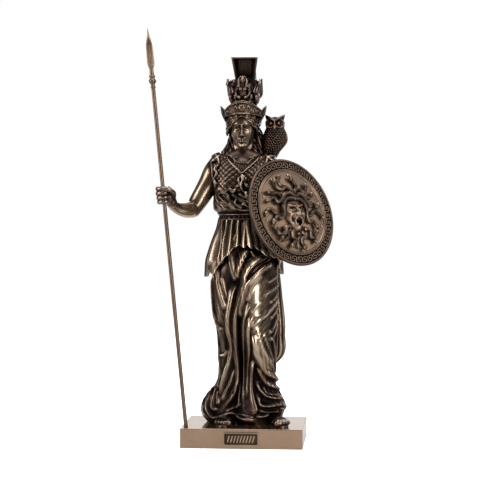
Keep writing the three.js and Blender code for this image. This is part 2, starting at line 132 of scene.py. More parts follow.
def movedForm(bm, move, close):
    mesh = bpy.data.meshes.new("form")
    bm.to_mesh(mesh)
    writePoints(mesh, move(readPoints(mesh)))
    bm.clear()
    bm.from_mesh(mesh)
    bpy.data.meshes.remove(mesh)
    if close:
        bmesh.ops.remove_doubles(bm, verts=bm.verts, dist=1e-4)
        ends = [edge for edge in bm.edges if edge.is_boundary]
        bmesh.ops.holes_fill(bm, edges=ends, sides=0)
    bmesh.ops.recalc_face_normals(bm, faces=bm.faces)
    return bm


def rolled(around, along, place):
    # a grid rolled round into a closed form, where place(angle, share of its length) gives its points
    bm = bmesh.new()
    bmesh.ops.create_grid(bm, x_segments=around, y_segments=along, size=0.5)
    return movedForm(bm, lambda p: place((p[:, 0] + 0.5) * 2 * pi, p[:, 1] + 0.5), True)


def mass(centre, half, across=32, up=20, shape=None):
    # a rounded mass: a sphere stretched to three half sizes about its centre, then shaped
    bm = bmesh.new()
    bmesh.ops.create_uvsphere(bm, u_segments=across, v_segments=up, radius=1)

    def move(side):
        p = side * np.array(half) + np.array(centre)
        return shape(p, side) if shape else p
    return movedForm(bm, move, False)


def limb(points, radii, around=14, spacing=0.8, flat=1.0, face=(0, -1, 0), shape=None):
    # round sections along a smooth line, with round ends; face is the way that its flat side looks
    length = np.linalg.norm(np.diff(np.array(points, float), axis=0), axis=1).sum()
    along = max(int(length / spacing), 6)
    centres = smoothLine(points, along)
    tangent = unit(np.gradient(centres, axis=0))
    front = np.tile(np.array(face, float), (along + 1, 1))
    front = unit(front - tangent * (front * tangent).sum(1)[:, None])
    side = np.cross(tangent, front)
    width = curve([(i / (len(radii) - 1), r) for i, r in enumerate(radii)])
    tips = 3  # rings that round each end

    def place(angle, share):
        ring = share * (along + 2 * tips) - tips
        beyond = np.where(ring < 0, ring, np.where(ring > along, ring - along, 0)) / tips
        k = np.clip(np.rint(ring), 0, along).astype(int)
        t = k / along
        r = width(t)
        swell = r * np.sqrt(np.maximum(1 - beyond ** 2, 0.02))
        if shape:
            swell = swell * shape(angle, t)
        return (centres[k] + tangent[k] * (beyond * r * min(flat, 1) * 0.9)[:, None]
                + side[k] * (np.sin(angle) * swell)[:, None]
                + front[k] * (np.cos(angle) * swell * flat)[:, None])
    return rolled(around, along + 2 * tips, place)


def joinForms(forms, name):
    # one object of all the forms, in millimetres
    whole = bmesh.new()
    for form in forms:
        mesh = bpy.data.meshes.new("form")
        form.to_mesh(mesh)
        whole.from_mesh(mesh)
        bpy.data.meshes.remove(mesh)
        form.free()
    mesh = bpy.data.meshes.new(name)
    whole.to_mesh(mesh)
    whole.free()
    piece = bpy.data.objects.new(name, mesh)
    bpy.context.scene.collection.objects.link(piece)
    return piece


def applyModifiers(piece):
    bpy.context.view_layer.update()
    seen = piece.evaluated_get(bpy.context.evaluated_depsgraph_get())
    made = bpy.data.meshes.new_from_object(seen)
    old = piece.data
    piece.modifiers.clear()
    piece.data = made
    made.name = old.name
    bpy.data.meshes.remove(old)


def layValues(piece, name, values, low=0):
    # values up to 1, one for each of the piece's points, or for its first ones where it has the layer already
    layer = piece.data.attributes.get(name) or piece.data.attributes.new(name, "FLOAT", "POINT")
    whole = np.zeros(len(piece.data.vertices), dtype=np.float32)
    layer.data.foreach_get("value", whole)
    whole[:len(values)] = np.clip(values, low, 1)
    layer.data.foreach_set("value", whole)


def cast(piece, voxel, triangles, soften):
    # the forms become one closed skin, as in a mould, which is thinned where it is plain
    remesh = piece.modifiers.new("skin", "REMESH")
    remesh.mode = "VOXEL"
    remesh.voxel_size = voxel
    applyModifiers(piece)
    smooth = piece.modifiers.new("soften", "SMOOTH")
    smooth.factor = 0.5
    smooth.iterations = soften
    found = 2 * len(piece.data.polygons)
    if found > triangles:
        thin = piece.modifiers.new("thin", "DECIMATE")
        thin.ratio = triangles / found
        thin.use_collapse_triangulate = True
    applyModifiers(piece)
    print(f"{piece.name}: {found} triangles cast, {len(piece.data.polygons)} kept")


# Gown: height above the plinth, then its left edge, right edge, front and back there
gown = curve([
    [0, -33, 31, -22, 26], [5, -37.4, 32.5, -24, 27], [13, -38.8, 34.5, -24, 27], [21, -34.5, 31, -22.5, 26],
    [29, -28.5, 26.6, -20, 25], [37, -24.4, 24.6, -18.5, 24], [48, -23.4, 25.4, -17.5, 23],
    [62, -23.2, 27, -17, 23], [80, -24.6, 28, -17, 23], [100, -27.2, 29, -17.5, 23],
    [125, -29, 29.5, -18, 23], [143, -28.5, 29, -18.5, 22], [158, -26, 26, -17, 19],
    [170, -23, 23, -15, 17], [180, -21.5, 20.5, -14, 15],
])

# Where the legs press the cloth out: height, angle, half width there and how far
legs = [
    curve([
        [4, 66, 16, 1], [16, 66, 18, 3], [34, 64, 20, 6], [49, 44, 24, 8.5], [62, 24, 28, 10.5],
        [80, 11, 33, 12.6], [92, 8, 35, 12.6], [118, 10, 36, 10.6], [140, 20, 38, 4.2], [152, 34, 38, 0],
    ]),
    curve([
        [10, -42, 14, 0], [40, -46, 16, 3.4], [60, -46, 16, 4.2], [72, -46, 17, 4], [84, -46, 18, 5.6],
        [100, -46, 22, 4.6], [125, -44, 26, 2.6], [142, -42, 28, 0],
    ]),
]

gownFolds = {
    "arcRadius": 27,  # millimetres of cloth for each radian of turn
    "backCount": 9, "backFrom": 100, "backTo": 262, "backDepth": 2.4,
    "centre": [-10, 15, 8.6],  # angle, half width and depth of the hollow between the legs
    "shallowPitch": 3.1, "shallowDeep": 0.5,
}

# Folds in front, each drawn from above by points of x and height, then its half width, its height and its
# lean, which makes it gentle on her right and steep on her left, or the other way where it is below 0
foldLines = [
    ([(-13.4, 150), (-12.4, 143.8), (-10.1, 134.2), (-7, 122.7)], 1.4, 2.6, -0.8),
    ([(4.5, 152.5), (3, 148), (-0.6, 140), (-6, 124)], 1.5, 3, 0.9),
    ([(-0.5, 150), (-2.5, 142), (-5.5, 131)], 0.8, 0.9, 0),
    ([(-6.5, 123.5), (-8.2, 114), (-9.4, 104), (-10.6, 92), (-10.6, 81), (-9.8, 67), (-12, 52.3),
      (-16.2, 37), (-21, 23)],
     1.3, 3.8, 0.8),
    ([(22.7, 145.7), (13, 141), (7.3, 137), (3, 130), (1, 121.7), (-3, 107), (-5.2, 92.8), (-5.9, 79),
      (-6.5, 62), (-5.9, 46), (-8.4, 28.5), (-20, 12.2)], 1.5, 4.6, 0.9),
    ([(23.7, 143.4), (13.5, 138), (6, 130), (2.6, 123)], 0.8, 1.6, 0.4),
    ([(25.5, 141), (15.5, 135.6), (7.6, 127.5), (2.2, 120.3), (-0.6, 111), (-2.6, 100.5), (-3, 88)],
     1.5, 4.2, -0.6),
    ([(6.3, 151), (11, 144.6), (18.9, 147)], 0.9, 1.8, 0),
    ([(15, 131), (6.8, 123), (3.4, 115), (2, 105)], 1, 2, -0.6),
    ([(4.4, 107), (2.6, 97.6), (0.8, 88), (0.2, 76), (-0.4, 60), (0.1, 38), (1.2, 17)], 1.2, 3.6, 0.7),
    ([(-4, 49), (-4.4, 33), (-5.2, 18), (-10.6, 11.2)], 1, 2.4, 0.6),
    ([(5.6, 95), (4.2, 82), (4.6, 65), (3.7, 46), (4.2, 22)], 1.2, 3.8, 0.7),
    ([(7.6, 57), (7.2, 37), (8.8, 24), (11.4, 13), (7, 8)], 1.4, 4, 0.8),
    ([(-28.4, 130), (-27, 112), (-24.8, 97.6), (-20, 88), (-16.8, 80.5)], 1.2, 2.4, 0.6),
    ([(-25, 138), (-21.6, 130), (-19.5, 121), (-15.8, 110), (-11.4, 97.6)], 1.3, 2.6, 0.8),
    ([(-18.3, 128), (-15, 117), (-12.4, 107.5)], 0.8, 1.3, 0.4),
    ([(-24.8, 97), (-23.8, 82), (-23, 70)], 0.9, 1.4, 0.4),
    ([(-23, 79.5), (-22.5, 68), (-21, 61), (-19.6, 48), (-20.4, 40)], 1, 1.8, 0.4),
    ([(-21.5, 60.6), (-18.4, 59.4), (-15, 60), (-12.6, 64)], 0.9, 1.8, -0.5),
    ([(-22, 52), (-20.4, 46), (-21.4, 38)], 0.8, 1.2, 0),
    ([(-11.5, 60), (-14.6, 47), (-19.2, 38), (-21, 30)], 1.1, 2.4, 0.6),
    ([(-8, 52), (-11, 40), (-16, 28), (-19, 20)], 0.9, 2, 0.6),
    ([(-23.5, 91), (-20.8, 86.5), (-18.4, 82), (-15, 84)], 0.8, 1.4, 0),
    ([(30.5, 128.5), (22.7, 123.4), (18.6, 122.6)], 0.8, 1.2, 0.5),
    ([(31, 121), (25, 115.4), (18.6, 113), (15, 109)], 0.9, 1.3, 0.5),
    ([(31.4, 114), (26, 106.6), (20.4, 104.4)], 0.8, 1.2, 0.5),
    ([(32, 110), (24, 99.4), (15, 93), (8, 87.6), (4, 82.5)], 1.1, 2, 0.8),
    ([(32, 101), (27, 94), (21.4, 90.4)], 0.8, 1.3, 0.5),
    ([(13, 106), (9.4, 102.4), (6.6, 97)], 0.6, 0.7, 0.5),
    ([(32, 96), (28.6, 88), (24, 81), (18.6, 78.6)], 1, 2, 0.6),
    ([(18.5, 74), (23.6, 73), (26.4, 66), (27.4, 58), (27, 47.5), (27.2, 38)], 1, 2.4, 0),
    ([(10, 84), (12, 74), (16, 62), (22.6, 49)], 0.9, 0.9, 0.4),
    ([(14, 82), (17, 72), (21.6, 61), (25.6, 52)], 0.9, 0.9, -0.4),
    ([(8, 73), (10.6, 62), (15, 53), (21, 45)], 0.8, 0.9, 0.4),
    ([(31, 88), (28, 78), (22.6, 72.6)], 0.9, 1.6, 0.4),
    ([(6.6, 80), (8, 68), (9, 59.8), (14.4, 47.4), (21, 40.6), (28, 36)], 1.3, 3, -0.9),
    ([(10.6, 51), (14, 42.4), (20, 34), (28, 28.6)], 1.1, 2.6, -0.8),
    ([(10.9, 38), (15.3, 29), (23.5, 23.4), (31.5, 22.6)], 1.1, 2.6, -0.7),
    ([(13.2, 27), (14.4, 18.6), (21.8, 16.4), (31.5, 18)], 1.1, 2.8, -0.6),
    ([(16.5, 33.6), (20.6, 27.4), (28.4, 25)], 0.7, 1.4, -0.4),
    ([(26.4, 33), (31, 26), (34.4, 19), (31.5, 12)], 1.2, 2.6, 0),
    ([(13.4, 13.6), (21.6, 11.6), (30.6, 11.6)], 0.9, 2, 0),
    ([(12, 8.4), (18, 7.6), (24, 9.6)], 0.8, 1.6, 0),
    ([(-20.6, 38), (-24, 33.6), (-29.2, 28.5), (-32, 19.8), (-31, 11.4), (-26.6, 6.6), (-20, 7.8),
      (-12, 10.4), (-3, 6), (9, 5.2), (16, 2.4)], 1.3, 3, 0.4),
    ([(-22.6, 33.6), (-24.8, 24.6), (-27, 16), (-23, 12)], 1.1, 2.6, 0.4),
    ([(-21.6, 30), (-22.4, 22), (-23.4, 17)], 0.8, 1.6, 0.3),
    ([(-29.2, 31), (-34.4, 24), (-36.8, 16), (-35.4, 9), (-30.4, 4.4)], 1.2, 2.4, 0.4),
    ([(-27, 27), (-29, 20), (-28, 13)], 0.8, 1.6, 0),
    ([(-18.4, 11), (-12, 14), (-5.4, 16.4), (-3, 20)], 0.9, 2, 0),
    ([(-9, 9), (-2.5, 9.6), (5, 8), (11, 7)], 0.8, 1.6, 0),
    ([(-16, 4.6), (-8, 6.6), (-1, 3.2), (8, 2.4)], 0.7, 1.2, 0),
    ([(33, 100), (32, 85), (31, 70), (31, 55), (31, 40), (32, 28)], 1.2, 2, 0),
    ([(-31, 128), (-29.5, 112), (-28, 96), (-26.5, 80), (-26, 62), (-25, 46)], 1.2, 1.8, 0),
]


def gownPoint(turn, h, out=0):
    left, right = gown(h, 1), gown(h, 2)
    deep = np.where(np.cos(turn) > 0, -gown(h, 3), gown(h, 4))
    press = sum(leg(h, 3) * bump(turnFrom(turn, np.radians(leg(h, 1))), np.radians(leg(h, 2)))
                for leg in legs)
    x = (left + right) / 2 + (right - left) / 2 * np.sin(turn) + np.sin(turn) * (press + out)
    return np.column_stack([x, -(deep + press + out) * np.cos(turn), h])


def turnAt(x, h):
    # the angle in front at which the gown shows this x
    left, right = gown(h, 1) - 1.5, gown(h, 2) + 1.5
    return np.arcsin(np.clip((x - (left + right) / 2) / ((right - left) / 2), -1, 1))


def ridges(turn, h, lines, toTurn, arcRadius):
    # how far the cloth stands out where the drawn folds run over it
    raised = np.zeros(len(turn))
    arc = turnFrom(turn, 0) * arcRadius
    for points, width, height, *rest in lines:
        lean = rest[0] if rest else 0
        x, y = np.array(points, float).T
        line = smoothLine(np.column_stack([toTurn(x, y) * arcRadius, y]), 5 * len(points))
        reach = 5 * width
        near = ((arc > line[:, 0].min() - reach) & (arc < line[:, 0].max() + reach)
                & (h > line[:, 1].min() - reach) & (h < line[:, 1].max() + reach))
        if not near.any():
            continue
        here = np.column_stack([arc[near], h[near]])
        best = np.full(len(here), 1e9)
        share, side = np.zeros(len(here)), np.zeros(len(here))
        for i, (a, b) in enumerate(zip(line, line[1:])):
            step = b - a
            away = here - a
            t = np.clip((away @ step) / max(step @ step, 1e-9), 0, 1)
            apart = np.hypot(*(away - t[:, None] * step).T)
            closer = apart < best
            best[closer] = apart[closer]
            share[closer] = ((i + t) / (len(line) - 1))[closer]
            side[closer] = np.sign(step[0] * away[:, 1] - step[1] * away[:, 0])[closer]
        fade = rise(0, 0.14, share) * rise(0, 0.14, 1 - share)
        wide = 2.7 * width * np.where(side * lean < 0, 1 + 0.8 * abs(lean), 1 - 0.3 * abs(lean))
        form = (0.5 + 0.5 * np.cos(pi * np.minimum(best / wide, 1))) ** 1.15 * (0.12 + 0.88 * fade)
        raised[near] = np.maximum(raised[near], height * form)
    return raised


def gownFolding(turn, h):
    sizes = gownFolds
    spin = np.degrees(turn) % 360
    inside = rise(sizes["backFrom"] - 16, sizes["backFrom"] + 8, spin)
    inside = inside * (1 - rise(sizes["backTo"] - 8, sizes["backTo"] + 16, spin))
    phase = (spin - sizes["backFrom"]) / (sizes["backTo"] - sizes["backFrom"]) * sizes["backCount"]
    phase = phase + 0.14 * np.sin(h / 19 + spin / 30) + 0.32 * np.sin(spin / 17)
    lower = 0.4 + 0.6 * rise(160, 60, h)
    back = inside * sizes["backDepth"] * lower * (2 * np.abs(np.cos(pi * phase)) ** 1.4 - 1)
    angle, wide, depth = sizes["centre"]
    hollow = depth * bump(turnFrom(turn, radians(angle)), radians(wide)) * rise(150, 112, h)
    drawn = 1.2 * ridges(turn, h, foldLines, turnAt, sizes["arcRadius"])
    return drawn + shallowFolds(turn, h) + back - hollow - 1.3


def shallowFolds(turn, h):
    # fine ones between the drawn ones: aslant over her left thigh and upright elsewhere, and they come and go
    arc = turnFrom(turn, 0) * gownFolds["arcRadius"]
    thigh = rise(3, 9, arc) * rise(58, 80, h)
    drift = 1.3 * np.sin(h / 12 + arc / 9)
    down = np.abs(np.cos(pi * (0.97 * arc + 0.2 * h) / gownFolds["shallowPitch"] + drift)) ** 1.4
    across = np.abs(np.cos(pi * (0.83 * arc - 0.56 * h) / gownFolds["shallowPitch"] + drift)) ** 1.4
    there = rise(0, 0.3, np.cos(turn)) * (0.55 + 0.45 * np.sin(0.21 * arc + 0.05 * h + 1)) * rise(8, 24, h)
    there = there * (1 - bump(arc - 8, 5.5) * rise(76, 90, h)) * (1 - 0.4 * rise(-6, -12, arc))
    return gownFolds["shallowDeep"] * there * mix(down, across, thigh)


def gownForm():
    def place(turn, share):
        turn = turn - 0.3 * np.sin(turn)
        h = -2 + 166 * share
        flat = gownPoint(turn, np.maximum(h, 0), gownFolding(turn, h)) * [1, 1, 0]
        return flat + np.column_stack([0 * h, 0 * h, h])
    return rolled(620, 400, place)


# Overfold of the gown below the belt: angle and the height of its hem, which steps up in front
hem = curve([
    [-180, 146], [-150, 142], [-130, 139], [-104, 134], [-92, 131], [-82, 127.4], [-70, 127.6],
    [-61, 132.4], [-53, 129.6], [-46, 130.6], [-40, 139.4], [-34, 141.6], [-28, 146], [-20, 150.5],
    [-12, 156], [-8, 158], [-2, 155], [4, 156], [10, 156.6], [22, 154], [30, 150], [44, 148], [56, 146],
    [64, 141], [72, 134], [82, 130], [94, 135], [108, 140], [140, 143], [180, 146],
])

overfold = {"thick": 1.6, "flare": 2.2, "sideFlare": 4.2, "tuck": 0.5, "dip": 0.8, "sidePleats": 17,
            "sideDepth": 1.9, "sway": 0.9}

# Pleats of the overfold in front: x at the belt, x at the hem, half width, height and lean
pleatLines = [
    (-22, -34, 1.8, 3.6, 0), (-20, -25.4, 3.4, 4, 0.3), (-18, -18.8, 1.3, 4, 0.3),
    (-15.2, -14.4, 1.5, 5.2, -0.6), (-11.6, -13.4, 0.9, 2.6, 0), (-8.2, -11.2, 1.5, 5.2, 0.6),
    (-5, -8, 0.9, 2.6, 0), (-2.4, -5.4, 1.4, 5, 0.6), (-0.6, -2, 0.8, 2.4, 0),
    (1.4, 1.8, 1.3, 4.4, 0.5), (4, 6, 1.4, 5, 0.6), (6.4, 8.8, 0.9, 2.4, 0), (8.4, 11.6, 1.5, 4.8, 0.6),
    (12, 17, 1.4, 4.8, 0.5), (16, 22.6, 1.5, 4.8, 0), (19.6, 28, 1.8, 4.8, 0),
]


def overfoldForm():
    lines = []
    for k, (x, low, wide, tall, lean) in enumerate(pleatLines):
        sway = overfold["sway"] * sin(k * 2.4)
        points = [(x, 181), (mix(x, low, 0.3) + sway, 171), (mix(x, low, 0.6) - 0.6 * sway, 160),
                  (mix(x, low, 0.8) - sway, 152), (low, 136)]
        lines.append((points, wide, tall * (1 - 0.16 * sin(k * 1.7)), lean))

    def fold(turn, h):
        front = ridges(turn, h, lines, turnAt, gownFolds["arcRadius"])
        ahead = rise(-0.05, 0.35, np.cos(turn))
        side = overfold["sideDepth"] * (2 * np.abs(np.cos(turn * overfold["sidePleats"] / 2)) ** 1.3 - 1) + 1
        return front * ahead + side * (1 - ahead)

    def place(turn, share):
        # up the outside, down inside the cloth and back to the hem's edge
        outside = (share < 0.8) | (share > 0.99)
        t = np.where(share < 0.8, share / 0.8, np.clip((0.97 - share) / 0.17, 0, 1))
        low = hem(np.degrees(turnFrom(turn, 0)))
        wave = fold(turn, np.minimum(low + 4, 150))
        low = low - overfold["dip"] * wave
        h = mix(low, 177, t)
        fall = (1 - t) ** 1.6
        sideways = overfold["sideFlare"] * bump(turnFrom(turn, radians(-76)), radians(38))
        sideways = sideways * (1 - overfold["tuck"] * rise(0.3, 0, t))
        out = 0.4 + (overfold["flare"] + sideways) * fall + fold(turn, h) * (0.3 + 0.5 * (1 - t) ** 0.7)
        out = np.where(outside, out, np.minimum(out - overfold["thick"], out * 0.9 - overfold["thick"])
                       - 5 * t)
        return gownPoint(turn, h, out)
    return rolled(560, 150, place)


# Chest from the belt to the neck: height, left edge, right edge, front and back
chest = curve([
    [168, -19, 18, -13, 14], [176, -20.4, 19.4, -13.6, 14.6], [181.2, -21.4, 20.2, -14.8, 15.4],
    [183.4, -25.2, 22.8, -17.6, 16.8], [188, -26.8, 24.2, -18.8, 17.4], [196, -26.7, 24.2, -18.6, 17],
    [205, -27.7, 25.2, -19.4, 17.5], [214, -29.3, 26.4, -18.4, 17.5], [219, -30.2, 27.4, -16.8, 16.6],
    [223.5, -30.4, 28, -14.6, 15], [227, -28.8, 26.4, -12.6, 14], [230, -25.6, 23, -10.8, 12.6],
    [233, -19, 16, -9.2, 11], [235, -13.5, 10.5, -8.2, 9.6], [237, -9.5, 6.5, -7.6, 8],
])

chestSizes = {
    "arcRadius": 24, "breastAngle": 32, "breastWidth": 0.33, "breastHeight": 203.5, "breastTall": 9.4,
    "breastDeep": 3.6, "mantleThick": 1.3, "scalePitch": 2.3, "scaleDeep": 0.75, "collarLow": 216.5,
    "collarSlope": 0.97, "middle": -1,
}

# Lower edge of the mantle: angle and height
mantleEdge = curve([
    [-180, 196], [-150, 199], [-120, 210], [-98, 221], [-86, 222], [-70, 215], [-56, 207], [-44, 202.5],
    [-30, 201.5], [-16, 204.5], [-3, 201], [12, 204.5], [28, 201.5], [42, 202.5], [54, 207], [68, 215],
    [84, 222], [96, 221], [120, 210], [150, 199], [180, 196],
])

# Folds of the cloth below the mantle
chestLines = [
    ([(-24.6, 203), (-21.5, 198.6), (-17.5, 193.6), (-11, 188.6), (-4, 184.6)], 1.2, 2.4, 0.5),
    ([(-25.8, 199), (-23.4, 194), (-18.6, 188.6), (-13, 184)], 1.2, 2.2, 0.5),
    ([(-25.4, 192), (-22, 187.4), (-18, 184)], 1, 1.8, 0.4),
    ([(-17, 199), (-12.6, 194), (-6.6, 189.4), (1, 186)], 1, 1.9, 0.5),
    ([(-9.6, 199.5), (-5.4, 195.4), (0.4, 192.2), (6.6, 190.6)], 1, 1.7, 0.4),
    ([(-3.4, 199), (1, 196), (6, 194.6)], 0.9, 1.5, 0.4),
    ([(-21, 186.4), (-15, 184.4)], 0.9, 1.4, 0), ([(-8, 186.8), (-1, 184.2), (5, 184.6)], 0.9, 1.4, 0),
    ([(1, 189.6), (5.5, 187), (9, 184)], 0.9, 1.5, 0), ([(19, 200), (15, 192), (10.5, 184)], 1.1, 2, -0.5),
    ([(23, 198), (20, 190), (17, 184)], 1.1, 2, -0.5), ([(13, 196), (10, 190), (8, 185)], 0.9, 1.6, -0.4),
    ([(-26.5, 212), (-26.5, 205), (-25.5, 198)], 1, 1.6, 0),
]


def chestPoint(turn, h, out=0):
    sizes = chestSizes
    left, right = chest(h, 1), chest(h, 2)
    deep = np.where(np.cos(turn) > 0, -chest(h, 3), chest(h, 4))
    breasts = sum(bump(turnFrom(turn, radians(at)), sizes["breastWidth"])
                  for at in (-sizes["breastAngle"], sizes["breastAngle"] - 2))
    push = sizes["breastDeep"] * breasts * bump(h - sizes["breastHeight"], sizes["breastTall"]) + out
    x = (left + right) / 2 + ((right - left) / 2 + push) * np.sin(turn)
    return np.column_stack([x, -(deep + push) * np.cos(turn), h])


def chestTurn(x, h):
    left, right = chest(h, 1) - 1, chest(h, 2) + 1
    return np.arcsin(np.clip((x - (left + right) / 2) / ((right - left) / 2), -1, 1))


def mantleAt(turn, h):
    # 1 where the scaled mantle lies over the shoulders and chest, and 0 beside it
    sizes = chestSizes
    spin = np.degrees(turnFrom(turn, 0))
    x = chestPoint(turn, h)[:, 0]
    low = mantleEdge(spin) - 1.4 * np.abs(np.sin(np.radians(spin) * 9)) * (np.abs(spin) < 86)
    top = sizes["collarLow"] + sizes["collarSlope"] * np.abs(x - sizes["middle"])
    top = np.where(np.cos(turn) > 0, np.minimum(top, 231.5), 233)
    return rise(-0.3, 0.5, h - low) * rise(-0.3, 0.5, top - h)


def chestFolding(turn, h):
    sizes = chestSizes
    mantle = mantleAt(turn, h)
    u = turn * sizes["arcRadius"] / sizes["scalePitch"]
    w = h / sizes["scalePitch"]
    scales = np.sqrt(np.abs(np.sin(pi / 2 * (u + w)) * np.sin(pi / 2 * (u - w)))) + 0.35 * (0.5 - w % 1)
    x = chestPoint(turn, h)[:, 0]
    ahead = rise(0.2, 0.6, np.cos(turn))
    shirt = ahead * rise(229, 226, h + 0.35 * np.abs(x - sizes["middle"]) - 1.2)
    gathers = 0.14 * np.cos(x * 3.1 + 0.5 * np.sin(h))
    below = 1 - mantle
    cloth = ridges(turn, h, chestLines, chestTurn, sizes["arcRadius"]) * below * ahead
    pleats = 0.7 * (1 - ahead) * rise(214, 190, h) * (2 * np.abs(np.cos(turn * 11 + h / 26)) ** 1.3 - 1)
    inV = below * shirt * rise(209, 216, h)
    return (mantle * (sizes["mantleThick"] + sizes["scaleDeep"] * (scales - 0.6)) + inV * (0.5 + gathers)
            + cloth + pleats * below)


def onChest(x, h, lift):
    turn = chestTurn(np.array([float(x)]), np.array([float(h)]))
    h = np.array([float(h)])
    return chestPoint(turn, h, lift + chestSizes["mantleThick"] * mantleAt(turn, h))[0]


def onChestLine(points, radii, lift=0.8, **kind):
    return limb([onChest(*p[:2], lift + (p[2] if len(p) > 2 else 0)) for p in points], radii, **kind)


def torsoForm():
    def place(turn, share):
        h = 168 + 69 * np.where(share < 0.8, share / 0.8 * 0.82, 0.82 + (share - 0.8) / 0.2 * 0.18)
        return chestPoint(turn, h, chestFolding(turn, h))
    return rolled(520, 300, place)


def beltForm():
    # two cords with the gathered cloth between them
    def place(angle, share):
        turn = 2 * pi * share
        up = squared(np.cos(angle), 0.5)
        out = squared(np.sin(angle), 0.6)
        cords = 1.1 * bump(np.abs(up) - 0.74, 0.22)
        gathers = 0.3 * np.cos(turn * 34 + 1.6 * np.sin(turn * 7) + 1.2 * up) * rise(0.7, 0.2, np.abs(up))
        h = 178.6 + 2.9 * up + 0.3 * np.sin(turn * 3)
        return chestPoint(turn, h * np.ones(len(turn)), 0.7 + out * (1.3 + cords + gathers))
    return rolled(40, 420, place)


# Snakes along the mantle's edge, each drawn by points of x, height and lift, with its width
chestSnakes = [
    ([(-24.6, 203), (-22, 207, 0.3), (-24, 211.4), (-21.6, 215.6, 0.3), (-23.6, 219.6),
      (-21, 223, 0.8)], 1.3),
    ([(-25.4, 203.6), (-21.6, 200.6), (-18, 202.6), (-14.4, 200.2), (-11, 202.4), (-8.2, 200.4, 0.4),
      (-5.6, 202.6, 1)], 1.3),
    ([(-21, 195.4), (-19.6, 198.6, 0.4), (-15.6, 199.4, 0.8), (-12.4, 197.4, 0.8), (-11.4, 193.8, 0.6)],
     1.15),
    ([(-24.4, 195), (-22.4, 190.6), (-18.4, 190.8), (-15, 188), (-10.8, 189.6), (-7.4, 187.6, 0.8)], 1.2),
    ([(-8.6, 197.4), (-5.4, 194.4), (-6.6, 190.6, 0.4), (-2.8, 188.2), (1, 189.6), (3.8, 187.6, 0.6)], 1.1),
    ([(-1, 214.5, 1.2), (-0.2, 210, 1.4), (-1.4, 205, 1), (0, 201), (3, 198.6, 0.6), (2, 195)], 1.35),
    ([(-1, 214.5, 1.2), (-3.4, 210.6, 0.8), (-2.8, 206.6, 0.6), (-5.4, 204)], 1.1),
    ([(-1, 214.5, 1.2), (2.2, 211, 0.8), (1.6, 207, 0.6), (4.4, 204.4)], 1.1),
    ([(22.6, 203), (19, 200.6), (15.4, 202.6), (11.8, 200.2), (8.4, 202.4), (5.6, 200.4, 0.6)], 1.3),
    ([(17.6, 195.4), (16.2, 198.6, 0.4), (12.4, 199.4, 0.8), (9.2, 197.4, 0.8), (8.4, 193.8, 0.6)], 1.15),
    ([(20.4, 190.6), (16.4, 190.8), (12.6, 188), (8.6, 189.6)], 1.1),
    ([(21.6, 207, 0.3), (19.6, 211.4), (21.4, 215.6, 0.3), (19, 219.6)], 1.3),
]


def snakeRadii(width):
    return [width * 0.5, width * 0.9, width, width, width * 0.95, width * 0.8, width * 1.35, width * 0.6]


def chestForms():
    forms = [torsoForm(), beltForm()]
    collar = [(-14.6, 230.4), (-13, 227.4), (-8.5, 222.6), (-4.6, 219), (-1.2, 216), (2.4, 219),
              (6.5, 222.6), (11, 227.4)]
    forms.append(onChestLine(collar + [(12.6, 230.4)], [0.8, 0.8], 0.8, flat=0.8))
    neckline = [(-9.5, 229.4), (-7, 226.4), (-2, 224.6), (3.5, 225), (8, 229)]
    forms.append(onChestLine(neckline, [0.6, 0.6], 0.5))
    for side in (-1, 1):
        armhole = [(-27.6, 225.5), (-26.6, 219), (-25.8, 212), (-24.2, 204), (-25.2, 197)]
        line = [(x if side < 0 else -2.4 - x, h) for x, h in armhole]
        forms.append(onChestLine(line, [0.9, 0.9, 0.8, 0.6], 0.6))
    for points, width in chestSnakes:
        forms.append(onChestLine(points, snakeRadii(width), width * 0.75, around=12, spacing=0.5))
    knot = [(-29, -2, 225.6), (-28, -8, 226.4), (-24.4, -9.6, 228.4), (-21, -6, 231.6), (-22, -0.5, 233),
            (-26, 1, 232), (-28, -3, 230.4), (-25, -6.5, 230.6), (-22.4, -9.4, 228), (-21.5, -12.6, 224.6)]
    forms.append(limb(knot, snakeRadii(1.35), spacing=0.5))
    forms.append(limb([(-2.4 - x, y, h) for x, y, h in knot], snakeRadii(1.35), spacing=0.5))
    return forms


# Arms and hands
def armForm(points, radii, swells):
    # swells: share along, angle, spread in share, spread in angle, how much it swells
    def shape(angle, t):
        return 1 + sum(big * bump(t - at, long) * bump(turnFrom(angle, radians(way)), radians(wide))
                       for at, way, long, wide, big in swells)
    return limb(points, radii, around=72, spacing=0.6, shape=shape)


hold = np.array([-66.2, -35.5, 196.5])
spearFoot = np.array([-47.1, -37.5, 0])
spearDirection = unit(hold - spearFoot)


def spearAt(h):
    return hold + spearDirection * ((h - hold[2]) / spearDirection[2])


def fingerRound(middle, across, ahead, up, reach, turns, radii):
    # a finger bent round a shaft: across and ahead span its plane
    points = [middle + reach * (cos(radians(turn)) * 1.12 * across + sin(radians(turn)) * ahead)
              - 0.3 * up for turn in turns]
    return limb(points, radii, around=20, spacing=0.4)


